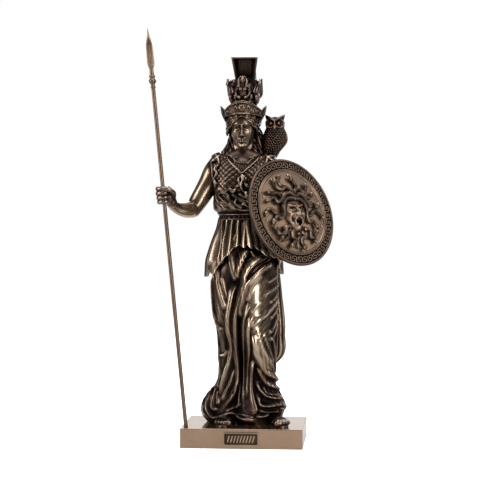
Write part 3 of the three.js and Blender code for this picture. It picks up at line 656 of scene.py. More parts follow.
def rightHand():
    palm = lambda p, side: p + np.column_stack([0 * p[:, 0], 0 * p[:, 0], 0.5 * np.cos(side[:, 1] * 4)])
    forms = [mass((-61.8, -34.2, 196.8), (4.6, 5, 7.4), 48, 32, palm),
             limb([(-59.5, -29, 190.5), (-60.6, -31.6, 193), (-62, -34, 196)], [4.3, 4.6, 4.4],
                  around=30, spacing=0.5)]
    across, ahead, up = np.array([1.0, 0, 0.1]), np.array([0, 1.0, 0]), np.array([0, 0, 1.0])
    for i, h in enumerate((203, 199.2, 195.4, 191.8)):
        reach = 4.1 - 0.16 * abs(i - 1)
        size = 1 - 0.05 * abs(i - 1)
        radii = [2.2 * size, 2.35 * size, 2 * size, 2.15 * size, 1.9 * size, 2 * size, 1.6 * size]
        forms.append(fingerRound(spearAt(h), across, ahead, up, reach,
                                 (70, 108, 146, 184, 222, 262, 300, 326), radii))
    forms.append(limb([(-59, -32.4, 195), (-58, -37.4, 199), (-60.6, -41.8, 201.8), (-65, -43.2, 202.4)],
                      [3, 2.7, 2.3, 2.1, 1.5], around=20, spacing=0.4))
    return forms


leftElbow = np.array([47, 4, 189.0])
leftWrist = np.array([23, -27, 183.5])
leftHand = np.array([20, -30.8, 183.0])


def armForms():
    forms = [
        armForm([(-22, 3, 224), (-27.2, 3, 216), (-31.2, 2.4, 208), (-35.2, 1, 200.7), (-41.4, -2, 190),
                 (-44.6, -4, 184.5)],
                [9.4, 9.7, 9, 8.4, 7.9, 6.9],
                [(0.25, 180, 0.16, 60, 0.08), (0.62, 30, 0.2, 45, 0.06), (0.55, 200, 0.2, 50, 0.05)]),
        armForm([(-44, -2, 186.2), (-48, -8, 184.8), (-53, -16, 185.2), (-57.3, -22, 187), (-60.5, -28, 190)],
                [6.8, 7.2, 6.3, 5, 4.2],
                [(0.3, 180, 0.2, 60, 0.07), (0.25, 20, 0.2, 50, 0.05)]),
        mass((-45.6, -3.2, 183), (5.6, 5.8, 5.4), 32, 20),
        armForm([(19, 4, 224), (27, 4, 216), (33, 4, 208), (38, 4, 202), leftElbow],
                [9.4, 9.2, 8.2, 7.8, 6.8], [(0.25, 180, 0.16, 60, 0.08)]),
        armForm([leftElbow, mix(leftElbow, leftWrist, 0.35), mix(leftElbow, leftWrist, 0.7), leftWrist],
                [6.8, 7, 5.6, 4.3], [(0.3, 180, 0.2, 60, 0.06)]),
        mass(leftHand + [-0.6, 0.6, 0], (5.4, 5.4, 6.4), 32, 20),
    ]
    return forms


# Feet in sandals under the hem
def footForms(x, y, outward, bigToe):
    # bigToe is 1 where the great toe is on her left side, and outward turns the foot, in degrees
    forms = [
        mass((0, 1, 3.6), (6.4, 12.5, 5.2), 40, 24,
             lambda p, side: p - np.column_stack([0 * p[:, 0], 0 * p[:, 0], 1.6 * rise(-2, -12, p[:, 1])])),
        mass((0, -0.5, 1), (7.2, 14.4, 1.2), 56, 24, lambda p, side: np.column_stack([
            squared(side[:, 0], 0.8) * 7.2, squared(side[:, 1], 0.9) * 14.4 - 0.5,
            squared(side[:, 2], 0.4) * 1.2 + 0.6])),
    ]
    for k in range(5):
        side = bigToe * (4.9 - 2.75 * k)
        size = (2.6, 2.05, 1.9, 1.75, 1.6)[k]
        front = -13.4 + (0, -0.3, 0.7, 1.9, 3.4)[k]
        forms.append(limb([(side * 0.86, front + 6.5, 4.6), (side * 0.95, front + 3, 4.4),
                           (side, front + 0.6, 3.4)],
                          [size * 1.05, size * 0.92, size * 1.02], around=18, spacing=0.4))
        forms.append(mass((side, front - 0.4, 4.2), (size * 0.6, 0.7, size * 0.5), 12, 8))
    forms.append(limb([(-6.8, -3, 3), (-4, -4.6, 6.6), (0, -5.4, 7.6), (4, -4.6, 6.6), (6.8, -3, 3)],
                      [0.8, 0.8], around=10, flat=0.7, face=(0, -0.5, 1)))
    turn = Matrix.Translation((x, y, 0)) @ Matrix.Rotation(radians(outward), 4, "Z")
    for form in forms:
        bmesh.ops.transform(form, matrix=turn, verts=form.verts)
    return forms


# Cloak that falls behind her left side: height, reach to her left and half depth
cloak = curve([[46, 21, 4], [55, 31, 7], [77, 34, 8.4], [112, 31, 8.2], [150, 27, 7], [200, 24, 5.6],
               [229, 20, 4.6]])
cloakSizes = {"folds": 13, "foldDeep": 1.5, "zigzag": 3.4}


def cloakForm():
    sizes = cloakSizes

    def place(turn, share):
        phase = turn * sizes["folds"] + 0.5 * np.sin(share * 9)
        h = 46 + 183 * share
        low = (1 - share) ** 8
        h = h + low * (sizes["zigzag"] * (np.abs(phase / pi % 2 - 1) * 2 - 1)
                       - 7 * np.cos(turn / 2) * np.sin(turn))
        edge, depth = cloak(h, 1), cloak(h, 2)
        lower = 0.5 + 0.5 * rise(1, 0.4, share)
        deep = depth + sizes["foldDeep"] * (2 * np.abs(np.cos(phase / 2)) ** 1.3 - 1) * lower
        x = mix(-4 + 6 * share, edge, (1 + np.sin(turn)) / 2)
        x = x + 0.6 * np.sin(turn) * np.cos(phase)
        return np.column_stack([x, 14 - 2 * share - deep * np.cos(turn), h])
    return rolled(300, 200, place)


# Neck and head. Heights and depths of the head are about its centre
headX = -1.6
headCentre = np.array([headX, -1, 252.5])
headRows = curve([
    [-16, 2.2, 6.5, 3], [-15.2, 4.2, 9.8, 5], [-13.6, 5.9, 11.6, 7], [-11, 7, 11.9, 9], [-8.3, 8.1, 12, 10.4],
    [-5, 9.3, 12.3, 11.6], [-1, 10.3, 12.6, 13], [3, 10.7, 12.8, 14], [6, 10.7, 13.3, 14.4],
    [10, 10.4, 12.8, 14.4], [14, 8.4, 10, 12], [16.4, 3, 4, 5],
])

# The profile of the nose: height, how far it stands out, its half width
noseRows = curve([
    [-6.2, 0, 1.6], [-5.3, 0.7, 2], [-4.7, 3, 1.7], [-3.9, 4, 1.55], [-2.6, 3.5, 1.35], [0, 2.5, 1.15],
    [2, 1.7, 1.05], [4, 1.1, 1.1], [6, 0.5, 1.4], [8, 0, 1.6],
])

faceSizes = {
    "eyeApart": 4.3, "eyeHeight": 2.3, "eyeWide": 2.35, "eyeTall": 1.12, "eyeOut": 1.15, "lid": 0.5,
    "socketDeep": 1.9, "browHeight": 5.1, "brow": 0.75, "mouth": -8.3, "lips": 1.05, "chin": 1.3,
    "cheek": 0.8,
}


def faceRelief(x, z):
    sizes = faceSizes
    wide = np.abs(x)
    eyeX = wide - sizes["eyeApart"]
    eyeZ = z - sizes["eyeHeight"]
    relief = noseRows(z, 1) * bump(x, noseRows(z, 2))
    relief += (1.3 * bump(wide - 2, 0.85) * bump(z + 4.2, 0.95)
               - 0.9 * bump(wide - 1.1, 0.5) * bump(z + 5.3, 0.45))
    relief -= sizes["socketDeep"] * bump(eyeX, 3.1) * bump(eyeZ - 0.3, 2)
    relief -= 0.9 * bump(wide - 2.1, 0.9) * bump(eyeZ - 0.9, 1.7)
    browLine = sizes["browHeight"] + 0.5 * bump(wide - 5, 2.4) - 0.6 * rise(6.5, 9, wide)
    relief += sizes["brow"] * bump(z - browLine, 0.85) * rise(0.6, 2, wide) * rise(10, 7.5, wide)
    rim = np.sqrt((eyeX / sizes["eyeWide"]) ** 2 + (eyeZ / sizes["eyeTall"]) ** 2)
    ball = np.sqrt(np.maximum(1.6 - (eyeX / 2.6) ** 2 - (eyeZ / 2.2) ** 2, 0)) - 0.4
    relief += sizes["eyeOut"] * np.maximum(ball, 0)
    above = np.where(eyeZ > 0, 1, 0.55)
    relief += sizes["lid"] * bump(rim - 1.18, 0.26) * above - 0.3 * bump(rim - 0.9, 0.14)
    relief += 0.35 * bump(rim - 1.9, 0.3) * (eyeZ > 0.4)
    low = z - sizes["mouth"]
    relief += 0.7 * bump(x, 4.6) * bump(low, 3)
    bow = 0.22 * bump(wide - 0.9, 0.7) - 0.12 * bump(x, 0.4)
    relief += sizes["lips"] * bump(x, 2.7) * bump(low - 0.72 - bow, 0.55)
    relief += sizes["lips"] * 1.1 * bump(x, 2.3) * bump(low + 0.95, 0.7)
    relief -= 1.0 * bump(low + 0.05 + 0.02 * x * x, 0.26) * rise(3.7, 2.6, wide)
    relief -= 0.5 * bump(wide - 3.7, 0.6) * bump(low, 0.6)
    relief -= 0.3 * bump(x, 0.55) * bump(low - 1.9, 0.7)
    relief -= 0.8 * bump(x, 3) * bump(low + 2.5, 0.75)
    relief += sizes["chin"] * bump(x, 3) * bump(low + 5, 1.8)
    relief += (sizes["cheek"] * bump(wide - 7, 2.2) * bump(z + 1, 2.8)
               - 0.4 * bump(wide - 6, 1.8) * bump(z + 6, 2.2))
    return relief


def headForm():
    def place(turn, share):
        turn = turn - 0.35 * np.sin(turn)
        z = -16 + 32.4 * share
        wide = headRows(z, 1)
        deep = np.where(np.cos(turn) > 0, headRows(z, 2), headRows(z, 3))
        x = wide * squared(np.sin(turn), 0.94)
        y = -deep * squared(np.cos(turn), 0.86)
        facing = rise(0.02, 0.4, np.cos(turn))
        y = y - faceRelief(x, z) * facing
        return np.column_stack([x, y, z]) + headCentre
    return rolled(360, 300, place)


def neckForms():
    forms = [limb([(headX, 3, 224), (headX, 1, 232), (headX, -0.2, 240), (headX, -0.4, 247)],
                  [10, 8.2, 7.6, 7.8], around=80, spacing=0.6)]
    for side in (-1, 1):
        forms.append(limb([(headX + side * 7.6, 3, 246), (headX + side * 6, -3.4, 238),
                           (headX + side * 3.2, -8, 231), (headX + side * 1.4, -9.8, 228)],
                          [1.6, 1.9, 1.5, 1.1], around=20))
        forms.append(limb([(headX + side * 2, -10.4, 227.6), (headX + side * 8, -9.4, 229.4),
                           (headX + side * 14, -6, 231.4)], [1.1, 1.4, 1.3], around=16))
    return forms


# Hair: waves under the helmet's rim, curls at the temples, locks on the shoulders and a fall behind
hairSizes = {"waves": 6, "waveWide": 0.95}


# Where the waves lie: angle, lower edge, upper edge
hairLine = curve([
    [0, 264.8, 267.2], [14, 263, 267], [27, 260.2, 266.4], [40, 257.4, 265.6], [53, 254.6, 264.6],
    [66, 252, 263.4], [80, 249.6, 262], [98, 248, 260.5],
])


def onHead(turn, h, out):
    # a point round the head at an angle in degrees, 0 in front and growing to her left
    a = radians(turn)
    return np.array([headX + out * 0.96 * sin(a), 0.6 - (out + 1.4) * cos(a), h])


# Locks on her right (-1) and her left (1), drawn by points of x from the head's middle, y and height
locks = {
    -1: [
        [(10.2, 3, 252), (10.8, 3.4, 246), (12, 2.6, 241), (14.6, 1, 236.6), (17, -2, 233),
         (18.4, -5, 229.6)],
        [(9.6, 6, 250), (11.4, 7, 243), (14, 5.6, 238), (17.4, 4, 234), (20, 2.4, 230), (21.4, 1, 226)],
        [(8.4, 4, 248), (8.8, 2.6, 242), (9.6, -0.6, 237.4), (12, -4, 233.6), (14.4, -7, 230.4)],
        [(9, 9, 250), (12.6, 11, 242), (16, 10.6, 235), (20, 10.6, 230), (22.6, 12.6, 224), (23.4, 14, 217)],
    ],
    1: [
        [(11.8, 2, 255), (13.4, 2.4, 248), (13.4, 2, 241.6), (14.2, 1, 236.6), (15, -2, 232.6),
         (15.4, -6, 228.6)],
        [(12, 5, 256), (14.6, 6, 249), (15.2, 5.6, 242), (15.4, 4, 236), (17, 2, 231), (18, 0, 227)],
        [(8.4, 4, 248), (9.2, 2.6, 242), (9.6, -0.6, 237.4), (11, -4, 233.6), (12.6, -7, 230.4)],
        [(11, 9, 254), (13.6, 11, 245), (14.4, 11, 237), (16, 11, 230), (18, 13, 224), (19, 14, 217)],
    ],
}


def waveForms():
    forms = []
    for side in (-1, 1):
        for k in range(hairSizes["waves"]):
            points = []
            for turn in range(2, 100, 7):
                low, high = hairLine(turn, 1), hairLine(turn, 2)
                wave = sin(turn * 0.28 + k * 0.9)
                h = mix(high, low, (k + 0.5) / hairSizes["waves"]) + 0.45 * wave
                points.append(onHead(side * turn, h, 13.1 + 0.012 * turn + 0.5 * (k % 2) + 0.3 * wave))
            width = hairSizes["waveWide"]
            forms.append(limb(points, [width * 0.7, width, width, width, width], around=12, spacing=0.4))
        for turn, h, size in ((70, 258, 2.1), (80, 254.4, 2.2), (92, 256.6, 2.1), (84, 250.6, 1.9),
                              (98, 251.4, 2)):
            middle = onHead(side * turn, h, 12.4)
            curl = [middle + size * (1 - 0.28 * q)
                    * np.array([side * 0.5 * cos(q * 2.1), -0.9 * cos(q * 2.1), sin(q * 2.1)])
                    for q in np.linspace(0, 3, 10)]
            forms.append(limb(curl, [0.9, 0.95, 0.8, 0.5], around=12, spacing=0.35))
    return forms


def lockForms():
    forms = [mass((-1.5, 2.2, 258.5), (11.6, 12.4, 9), 48, 28)]
    for side in (-1, 1):
        for lock in locks[side]:
            for strand in range(3):
                points = smoothLine([(headX + side * x, y, h) for x, y, h in lock], 16)
                turns = strand * 2.1 + lock[0][1] + np.linspace(0, 7.5, 17)
                width = np.interp(np.linspace(0, 1, 17), [0, 0.5, 0.85, 1], [1.1, 1.4, 1.2, 0.4])
                points[:, 0] += width * np.cos(turns)
                points[:, 1] += width * np.sin(turns)
                forms.append(limb(points, [1.2, 1.5, 1.45, 1.35, 1.2, 0.6], around=14, spacing=0.45))
    fall = limb([(-1.4, 8, 262), (-1.4, 12, 252), (-1.4, 13.6, 240), (-1.4, 14.6, 228),
                 (-1.4, 16.4, 214), (-1.4, 16, 205)],
                [11, 11.6, 11, 10.4, 8, 3.4], around=180, spacing=0.5, flat=0.62, face=(0, 1, 0),
                shape=lambda angle, t: 1 + 0.07 * np.abs(np.cos(angle * 9 + 1.6 * np.sin(t * 15)))
                + 0.03 * np.cos(angle * 19))
    return forms + [fall]


# Helmet: the band is drawn by angle, share of its height and how far it stands out
band = {"reach": 104, "out": 15.2, "thick": 1.7, "peak": 10.6, "low": 262.4}


def bandTop(turn):
    return 267.6 + band["peak"] * np.maximum(np.cos(turn / 1.8), 0) ** 5


def bandLow(turn):
    return band["low"] + 3.6 * np.cos(turn / 2) ** 3


def onBand(turn, share, lift):
    a = radians(turn)
    out = band["out"] + band["thick"] + lift
    return np.array([-1.4 + out * 0.98 * sin(a), 2.2 - (out + 1.6) * cos(a),
                     mix(bandLow(a), bandTop(a), share)])


def bandForm():
    def place(angle, share):
        turn = (share - 0.5) * 2 * radians(band["reach"])
        s = 0.5 + 0.5 * squared(np.cos(angle), 0.55)
        outside = rise(0.1, 0.6, np.sin(angle))
        rims = 1.15 * bump(s - 0.96, 0.04) + 0.8 * bump(s - 0.84, 0.035) + 1.05 * bump(s - 0.05, 0.06)
        out = band["out"] + band["thick"] * squared(np.sin(angle), 0.5) + rims * outside
        h = mix(bandLow(turn), bandTop(turn), s)
        return np.column_stack([-1.4 + out * 0.98 * np.sin(turn), 2.2 - (out + 1.6) * np.cos(turn), h])
    return rolled(110, 260, place)


def bandRelief():
    # a palmette in the middle, and a running scroll on each side
    forms = []
    for way in (-62, -32, 0, 32, 62):
        a = radians(way)
        petal = [onBand(9.5 * q * sin(a), 0.26 + 0.42 * q * cos(a) ** 0.6, 0.15) for q in (0.15, 0.5, 0.8, 1)]
        forms.append(limb(petal, [0.4, 0.75, 0.85, 0.4], around=10, spacing=0.3))
    for side in (-1, 1):
        for k in range(3):
            middle, way = 19 + 18 * k, (-1) ** k
            coil = [onBand(side * (middle + (5.2 - 1.15 * q) * cos(q * 1.4 * way)),
                           0.43 + (0.2 - 0.045 * q) * sin(q * 1.4 * way), 0.1)
                    for q in np.linspace(-0.8, 2.6, 14)]
            forms.append(limb(coil, [0.3, 0.5, 0.5, 0.35], around=10, spacing=0.3))
            leaf = [onBand(side * (middle + 8), 0.3 + 0.26 * (k % 2), 0.1),
                    onBand(side * (middle + 10), 0.44, 0.2),
                    onBand(side * (middle + 10.5), 0.62 - 0.3 * (k % 2), 0.1)]
            forms.append(limb(leaf, [0.3, 0.65, 0.3], around=8, spacing=0.3))
    return forms


def cheekForms():
    forms = []
    for side in (-1, 1):
        at = lambda out, y, h: (headX + side * out, y, h)
        forms.append(limb([at(14.8, -0.4, 260.4), at(15.4, 0.4, 263.4), at(16.4, 1.6, 266.8),
                           at(18, 3, 270.6), at(20, 4.4, 274.6)],
                          [1, 2.2, 2.7, 1.9, 0.3], around=28, spacing=0.4, flat=0.42,
                          face=(side * 0.35, -1, 0.1),
                          shape=lambda angle, t: 1 + 0.12 * np.cos(angle * 2)
                          - 0.5 * bump(turnFrom(angle, 0), 0.35) * rise(1, 0.6, t)))
        forms.append(limb([at(15.6, -1.6, 261.4), at(16.8, -0.2, 265.4), at(18.4, 1.4, 269.6),
                           at(19.8, 3.6, 273.4)],
                          [0.5, 0.7, 0.6, 0.25], around=10, spacing=0.4))
        forms.append(mass(at(14, 6, 262), (1.8, 6, 5.4), 24, 16))
    return forms


def sphinxFace(p, side):
    # nose, eyes and mouth on the front of the little head
    across, up = side[:, 0], side[:, 2]
    face = (0.8 * bump(across, 0.16) * bump(up + 0.12, 0.3)
            - 0.55 * bump(np.abs(across) - 0.4, 0.2) * bump(up - 0.08, 0.14)
            + 0.35 * bump(across, 0.3) * bump(up + 0.55, 0.12))
    return p - np.column_stack([0 * p[:, 0], rise(0, -0.5, side[:, 1]) * face, 0 * p[:, 0]])


def sphinxForms():
    at = lambda x, y, h: (-1 + x, y, h)
    forms = [
        mass(at(0, -12.6, 295.2), (2.1, 2.3, 2.9), 40, 32, sphinxFace),
        mass(at(0, -11, 296), (3.2, 2.8, 3.6), 24, 16),
        limb([at(0, -11.8, 293), at(0, -11, 289)], [1.8, 2.2], around=20, spacing=0.5),
        mass(at(0, -9.6, 286.6), (4.4, 3.6, 5.6), 32, 20),
        mass(at(0, -2, 283), (4.8, 8, 8), 32, 20),
    ]
    for side in (-1, 1):
        forms += [
            limb([at(side * 1.6, -12.4, 298.4), at(side * 3, -12.4, 296), at(side * 3.3, -12.6, 293),
                  at(side * 3.1, -13, 290)],
                 [0.8, 1.15, 1.1, 0.9], around=14, spacing=0.35),
            mass(at(side * 1.9, -12.7, 287.8), (1.55, 1.5, 1.6), 20, 14),
            limb([at(side * 4, -10.4, 290), at(side * 5.6, -11.4, 287), at(side * 5.9, -13, 284),
                  at(side * 4.6, -15, 281.6), at(side * 2.6, -16.4, 280.6)], [1.3, 1.25, 1.1, 1, 1.2],
                 around=16, spacing=0.35),
        ]
    return forms


def beastForms():
    forms = []
    for side in (-1, 1):
        at = lambda x, y, h: (-0.4 + side * x, y, h)
        forms += [
            mass(at(9, 0, 281.6), (4.6, 9.6, 7.2), 32, 20),
            limb([at(8.6, -6, 281), at(10.2, -9.4, 285.6), at(11.6, -9.6, 290), at(12.8, -9, 293)],
                 [3.6, 3, 2.4, 1.9], around=24, spacing=0.5),
            limb([at(12.6, -8.4, 293.4), at(13.4, -11.4, 293), at(14, -13.6, 291.6)], [2, 1.7, 1.1],
                 around=20, spacing=0.4),
            limb([at(12.6, -7.6, 294), at(13.8, -7, 296.8)], [0.9, 0.3], around=10, spacing=0.3),
            limb([at(11.4, -7.6, 294), at(11, -7, 296.4)], [0.8, 0.3], around=10, spacing=0.3),
            limb([at(9.4, -8.6, 281.4), at(10.8, -13, 281.6), at(11.6, -14.6, 279)], [1.5, 1.2, 1],
                 around=14, spacing=0.4),
            limb([at(7.2, -9, 281), at(7.2, -13.8, 282.4), at(7, -15.6, 280)], [1.4, 1.1, 1], around=14,
                 spacing=0.4),
            limb([at(9, 0, 280), at(11.4, 2, 287), at(13.2, 4, 293), at(14.4, 5.6, 297.6)],
                 [3.6, 3.8, 3, 0.9], around=24, spacing=0.5, flat=0.45, face=(side, 0, 0)),
        ]
        for k in range(6):
            low = mix(np.array(at(10.6, -4.5, 283.4)), np.array(at(11.4, 6, 280)), k / 5)
            high = mix(np.array(at(15.2, 0.4, 297.4)), np.array(at(15, 9.6, 290)), k / 5)
            bend = mix(low, high, 0.5) + [side * 1.3, 0, -0.8]
            forms.append(limb([low, bend, high], [1, 1.15, 0.9, 0.5], around=12, spacing=0.4, flat=0.7,
                              face=(side, 0, 0)))
        for k in range(4):
            root = np.array(at(10.2 + 0.6 * k, -5.4 + 0.5 * k, 284 + 2.7 * k))
            forms.append(limb([root, root + [side * 1.4, 1.4, -0.6], root + [side * 1.6, 3, -2.2]],
                              [0.5, 0.7, 0.4], around=10, spacing=0.3))
    return forms


# Crest: a tall comb of horsehair, from a hollow front to a tail behind
crest = {"from": 58, "to": 196, "low": 24, "high": 42.4, "tail": 11, "wideLow": 8.2, "wideHigh": 11.6,
         "strands": 13, "strandDeep": 0.4, "frontHollow": 6, "lip": 0.26, "frontRise": 6.4}


def crestForm():
    sizes = crest

    def place(angle, share):
        # the first and last of its length close its ends
        cap = np.where(share < 0.12, share / 0.12, np.where(share > 0.93, (1 - share) / 0.07, 1))
        t = np.clip((share - 0.12) / 0.81, 0, 1)
        u, v = boxed(angle)
        u, v = u * cap, v * cap
        up = (1 + v) / 2
        high = sizes["high"] - sizes["tail"] * rise(0.55, 1, t)
        high = high + sizes["frontRise"] * np.maximum(1 - t / 0.23, 0) ** 1.8
        wide = mix(sizes["wideLow"], sizes["wideHigh"], up ** 1.1)
        wide = wide * (1 - 0.3 * rise(0, 0.25, t)) * (1 - 0.3 * rise(0.6, 1, t))
        strand = np.abs(np.cos((u + 0.02 * np.sin(v * 3)) * sizes["strands"] * pi / 2)) ** 0.7
        comb = np.abs(np.cos(t * 74 + 0.5 * np.sin(v * 3))) ** 0.7
        whole = cap > 0.999
        top = whole * bump(v - 1, 0.02)
        beside = whole * bump(np.abs(u) - 1, 0.02)
        front = (t <= 0) * (cap < 1)
        inside = 1 - np.maximum(np.abs(u), np.abs(v))
        edge = rise(sizes["lip"] * 0.4, sizes["lip"] * 1.6, inside)
        turn = radians(sizes["from"]) + radians(sizes["to"] - sizes["from"]) * t
        turn = turn + front * (sizes["frontHollow"] * edge - sizes["strandDeep"] * strand * edge) / 33
        out = mix(sizes["low"], high, up) + 0.5 * sizes["strandDeep"] * top * rise(0, 0.06, t) * (strand - 1)
        middle = mix(0.2, 0.4, up) - 0.8 * rise(0, 0.3, t)
        side = wide * u * (1 + 0.03 * beside * rise(0, 0.05, t) * (comb - 1))
        return np.column_stack([middle + side, 8 - out * np.cos(turn) * 0.72, 274 + out * np.sin(turn)])
    return rolled(220, 260, place)


def crestSeatForm():
    def place(angle, share):
        turn = radians(10) + radians(155) * share
        out = 18.5 + 5 * np.sin(angle)
        wide = mix(8.6, 5, rise(0.35, 0.7, share))
        return np.column_stack([-0.6 + wide * squared(np.cos(angle), 0.6), 7 - out * np.cos(turn) * 0.8,
                                272 + out * np.sin(turn) * 1.17])
    return rolled(40, 120, place)


def seatForms():
    return [crestSeatForm()] + [mass((-0.6 + side * 8.6, 3.4, 288), (5, 5, 9.6), 32, 20) for side in (-1, 1)]


def helmetForms():
    return [mass((-1.4, 2.5, 268), (14.2, 15.8, 12.2), 64, 40)] + cheekForms()


# Shield in its own frame: z out of its face, x to its right edge and y to its top
shieldFacing = Vector((0.693, -0.654, 0.304)).normalized()
shieldMiddle = Vector((42.5, -30, 183))
shieldAcross = Vector((0, 0, 1)).cross(shieldFacing).normalized()
shieldUp = shieldFacing.cross(shieldAcross)
toFigure = Matrix((shieldAcross, shieldUp, shieldFacing)).transposed().to_4x4()
toFigure.translation = shieldMiddle
toShield = toFigure.inverted()

shieldSizes = {
    "radius": 47.2, "thick": 2.6, "field": 36.2, "dome": 3, "bandLow": 38.2, "bandHigh": 45, "bandSunk": 0.8,
    "keys": 40, "keyLine": 1.05, "keyShare": 0.8, "keyTall": 0.7, "rivets": 10, "rivetRadius": 1.15,
    "rivetsAt": 32.6, "faceX": -1.8, "faceY": -3, "faceHalf": (11.6, 15.6, 5.8), "snakeReach": 33,
    "snakeRadius": 2.15, "lowSnakes": (76, 104, 38, 134, 0, 176, -54, 232, 270), "winding": 2.8, "bends": 1.1,
    "strapWidth": 9, "strapThick": 1.4, "gripRadius": 1.4, "gripHalf": 12, "voxel": 0.3, "triangles": 90000,
}


def fieldHeight(r):
    return shieldSizes["dome"] * np.maximum(1 - (r / shieldSizes["field"]) ** 2, 0)


def discForm():
    # the profile from the middle of the face to the rim and back under, spun round
    sizes = shieldSizes
    radius, thick, field = sizes["radius"], sizes["thick"], sizes["field"]
    face = [(r, float(fieldHeight(r))) for r in np.linspace(0, field - 1.3, 15)]
    face += [(field - 0.9, 0.15), (field - 0.7, 0.85), (field - 0.1, 1.1), (field + 0.5, 0.85),
             (field + 0.7, 0.2), (field + 0.9, 0.2), (field + 1.05, 0.75), (field + 1.5, 0.85),
             (field + 1.8, 0.6), (sizes["bandLow"], -sizes["bandSunk"] + 0.1),
             (sizes["bandLow"] + 0.3, -sizes["bandSunk"])]
    face += [(r, -sizes["bandSunk"]) for r in np.linspace(sizes["bandLow"] + 1.6, sizes["bandHigh"] - 0.3, 5)]
    face += [(sizes["bandHigh"], 0.1), (sizes["bandHigh"] + 0.3, 0.4), (radius - 1, 0.45),
             (radius - 0.35, 0.15), (radius, -0.6), (radius - 0.1, -1.6), (radius - 0.6, -thick + 0.15),
             (radius - 1.6, -thick)]
    face += [(r, float(fieldHeight(r)) - thick) for r in np.linspace(field, 0, 12)]
    bm = bmesh.new()
    points = [bm.verts.new((r, 0, z)) for r, z in face]
    edges = [bm.edges.new(pair) for pair in zip(points, points[1:])]
    bmesh.ops.spin(bm, geom=points + edges, cent=(0, 0, 0), axis=(0, 0, 1), dvec=(0, 0, 0),
                   angle=2 * pi, steps=160, use_merge=True, use_duplicate=False)
    bmesh.ops.remove_doubles(bm, verts=bm.verts, dist=1e-4)
    bmesh.ops.recalc_face_normals(bm, faces=bm.faces)
    return bm


def keyForms():
    # one raised line that winds along the border: across and up in line widths, six widths to a key
    sizes = shieldSizes
    path = [(0, 0), (0, 4), (4, 4), (4, 2), (2, 2), (2, 0), (6, 0)]
    line = sizes["keyLine"]
    foot = (sizes["bandLow"] + 0.3 + sizes["bandHigh"]) / 2 - 2 * line
    step = 2 * pi / sizes["keys"] / 6
    high = -sizes["bandSunk"] + sizes["keyTall"]
    forms = []
    for key in range(sizes["keys"]):
        for (x0, y0), (x1, y1) in zip(path, path[1:]):
            across, up = (min(x0, x1), max(x0, x1)), (min(y0, y1), max(y0, y1))
            bm = bmesh.new()
            bmesh.ops.create_cube(bm, size=1)
            bmesh.ops.bevel(bm, geom=[e for e in bm.edges if min(v.co.z for v in e.verts) > 0], offset=0.16,
                            offset_type="OFFSET", segments=1, profile=0.5, affect="EDGES", material=-1)
            for v in bm.verts:
                u = (across[0] + across[1]) / 2 + v.co.x * (across[1] - across[0] + sizes["keyShare"])
                r = foot + ((up[0] + up[1]) / 2 + v.co.y * (up[1] - up[0] + sizes["keyShare"])) * line
                turn = (key * 6 + u) * step
                v.co = (r * cos(turn), r * sin(turn), mix(-1.4, high, v.co.z + 0.5))
            bm.normal_update()
            bmesh.ops.recalc_face_normals(bm, faces=bm.faces)
            forms.append(bm)
    return forms


def rivetForms():
    sizes = shieldSizes
    forms = []
    for k in range(sizes["rivets"]):
        turn = 2 * pi * (k + 0.35) / sizes["rivets"]
        r = sizes["rivetsAt"]
        forms.append(mass((r * cos(turn), r * sin(turn), float(fieldHeight(r))),
                          (sizes["rivetRadius"],) * 3, 16, 10))
    return forms


def gorgonFace():
    # an open-mouthed mask; across and up are shares of its half sizes
    sizes = shieldSizes
    x0, y0, half = sizes["faceX"], sizes["faceY"], sizes["faceHalf"]

    def shape(p, side):
        x, y = (p[:, 0] - x0) / half[0], p[:, 1] / half[1]
        wide = np.abs(x)
        front = rise(0, 0.45, side[:, 2])
        eye = np.hypot((wide - 0.4) / 0.21, (y - 0.17) / 0.075)
        mouth = np.hypot(x / 0.36, (y + 0.5) / 0.21)
        z = 2.6 * bump(x, 0.13 + 0.06 * rise(0.1, -0.1, y)) * rise(-0.24, -0.16, y) * rise(0.55, 0, y)
        z += 1.2 * bump(wide - 0.19, 0.09) * bump(y + 0.14, 0.07)
        z -= 2.1 * bump(wide - 0.4, 0.25) * bump(y - 0.19, 0.12)
        z += 1.7 * np.sqrt(np.maximum(1.2 - eye ** 2, 0)) + 0.6 * bump(eye - 1.3, 0.16)
        z += 1.7 * bump(y - 0.36 - 0.24 * (wide - 0.3), 0.07) * rise(0.04, 0.2, wide) * rise(0.95, 0.7, wide)
        z -= 0.9 * bump(x, 0.05) * bump(y - 0.42, 0.1)
        z += 0.9 * bump(mouth - 1.2, 0.2) - 3.6 * rise(1.05, 0.75, mouth)
        z += 2.4 * bump(x, 0.17) * bump(y + 0.6, 0.07) + 2 * bump(y + 0.36, 0.035) * rise(0.27, 0.2, wide)
        z += (1.1 * bump(wide - 0.62, 0.18) * bump(y + 0.08, 0.16)
              - 1.1 * bump(wide - 0.55, 0.12) * bump(y + 0.36, 0.16))
        z += 1.3 * bump(x, 0.26) * bump(y + 0.86, 0.09) - 0.6 * bump(x, 0.3) * bump(y + 0.73, 0.04)
        narrow = 1 - 0.26 * rise(0, -1, side[:, 1])
        return np.column_stack([x0 + (p[:, 0] - x0) * narrow, p[:, 1] + y0, p[:, 2] + z * front])
    return mass((x0, 0, sizes["dome"]), half, 150, 110, shape)


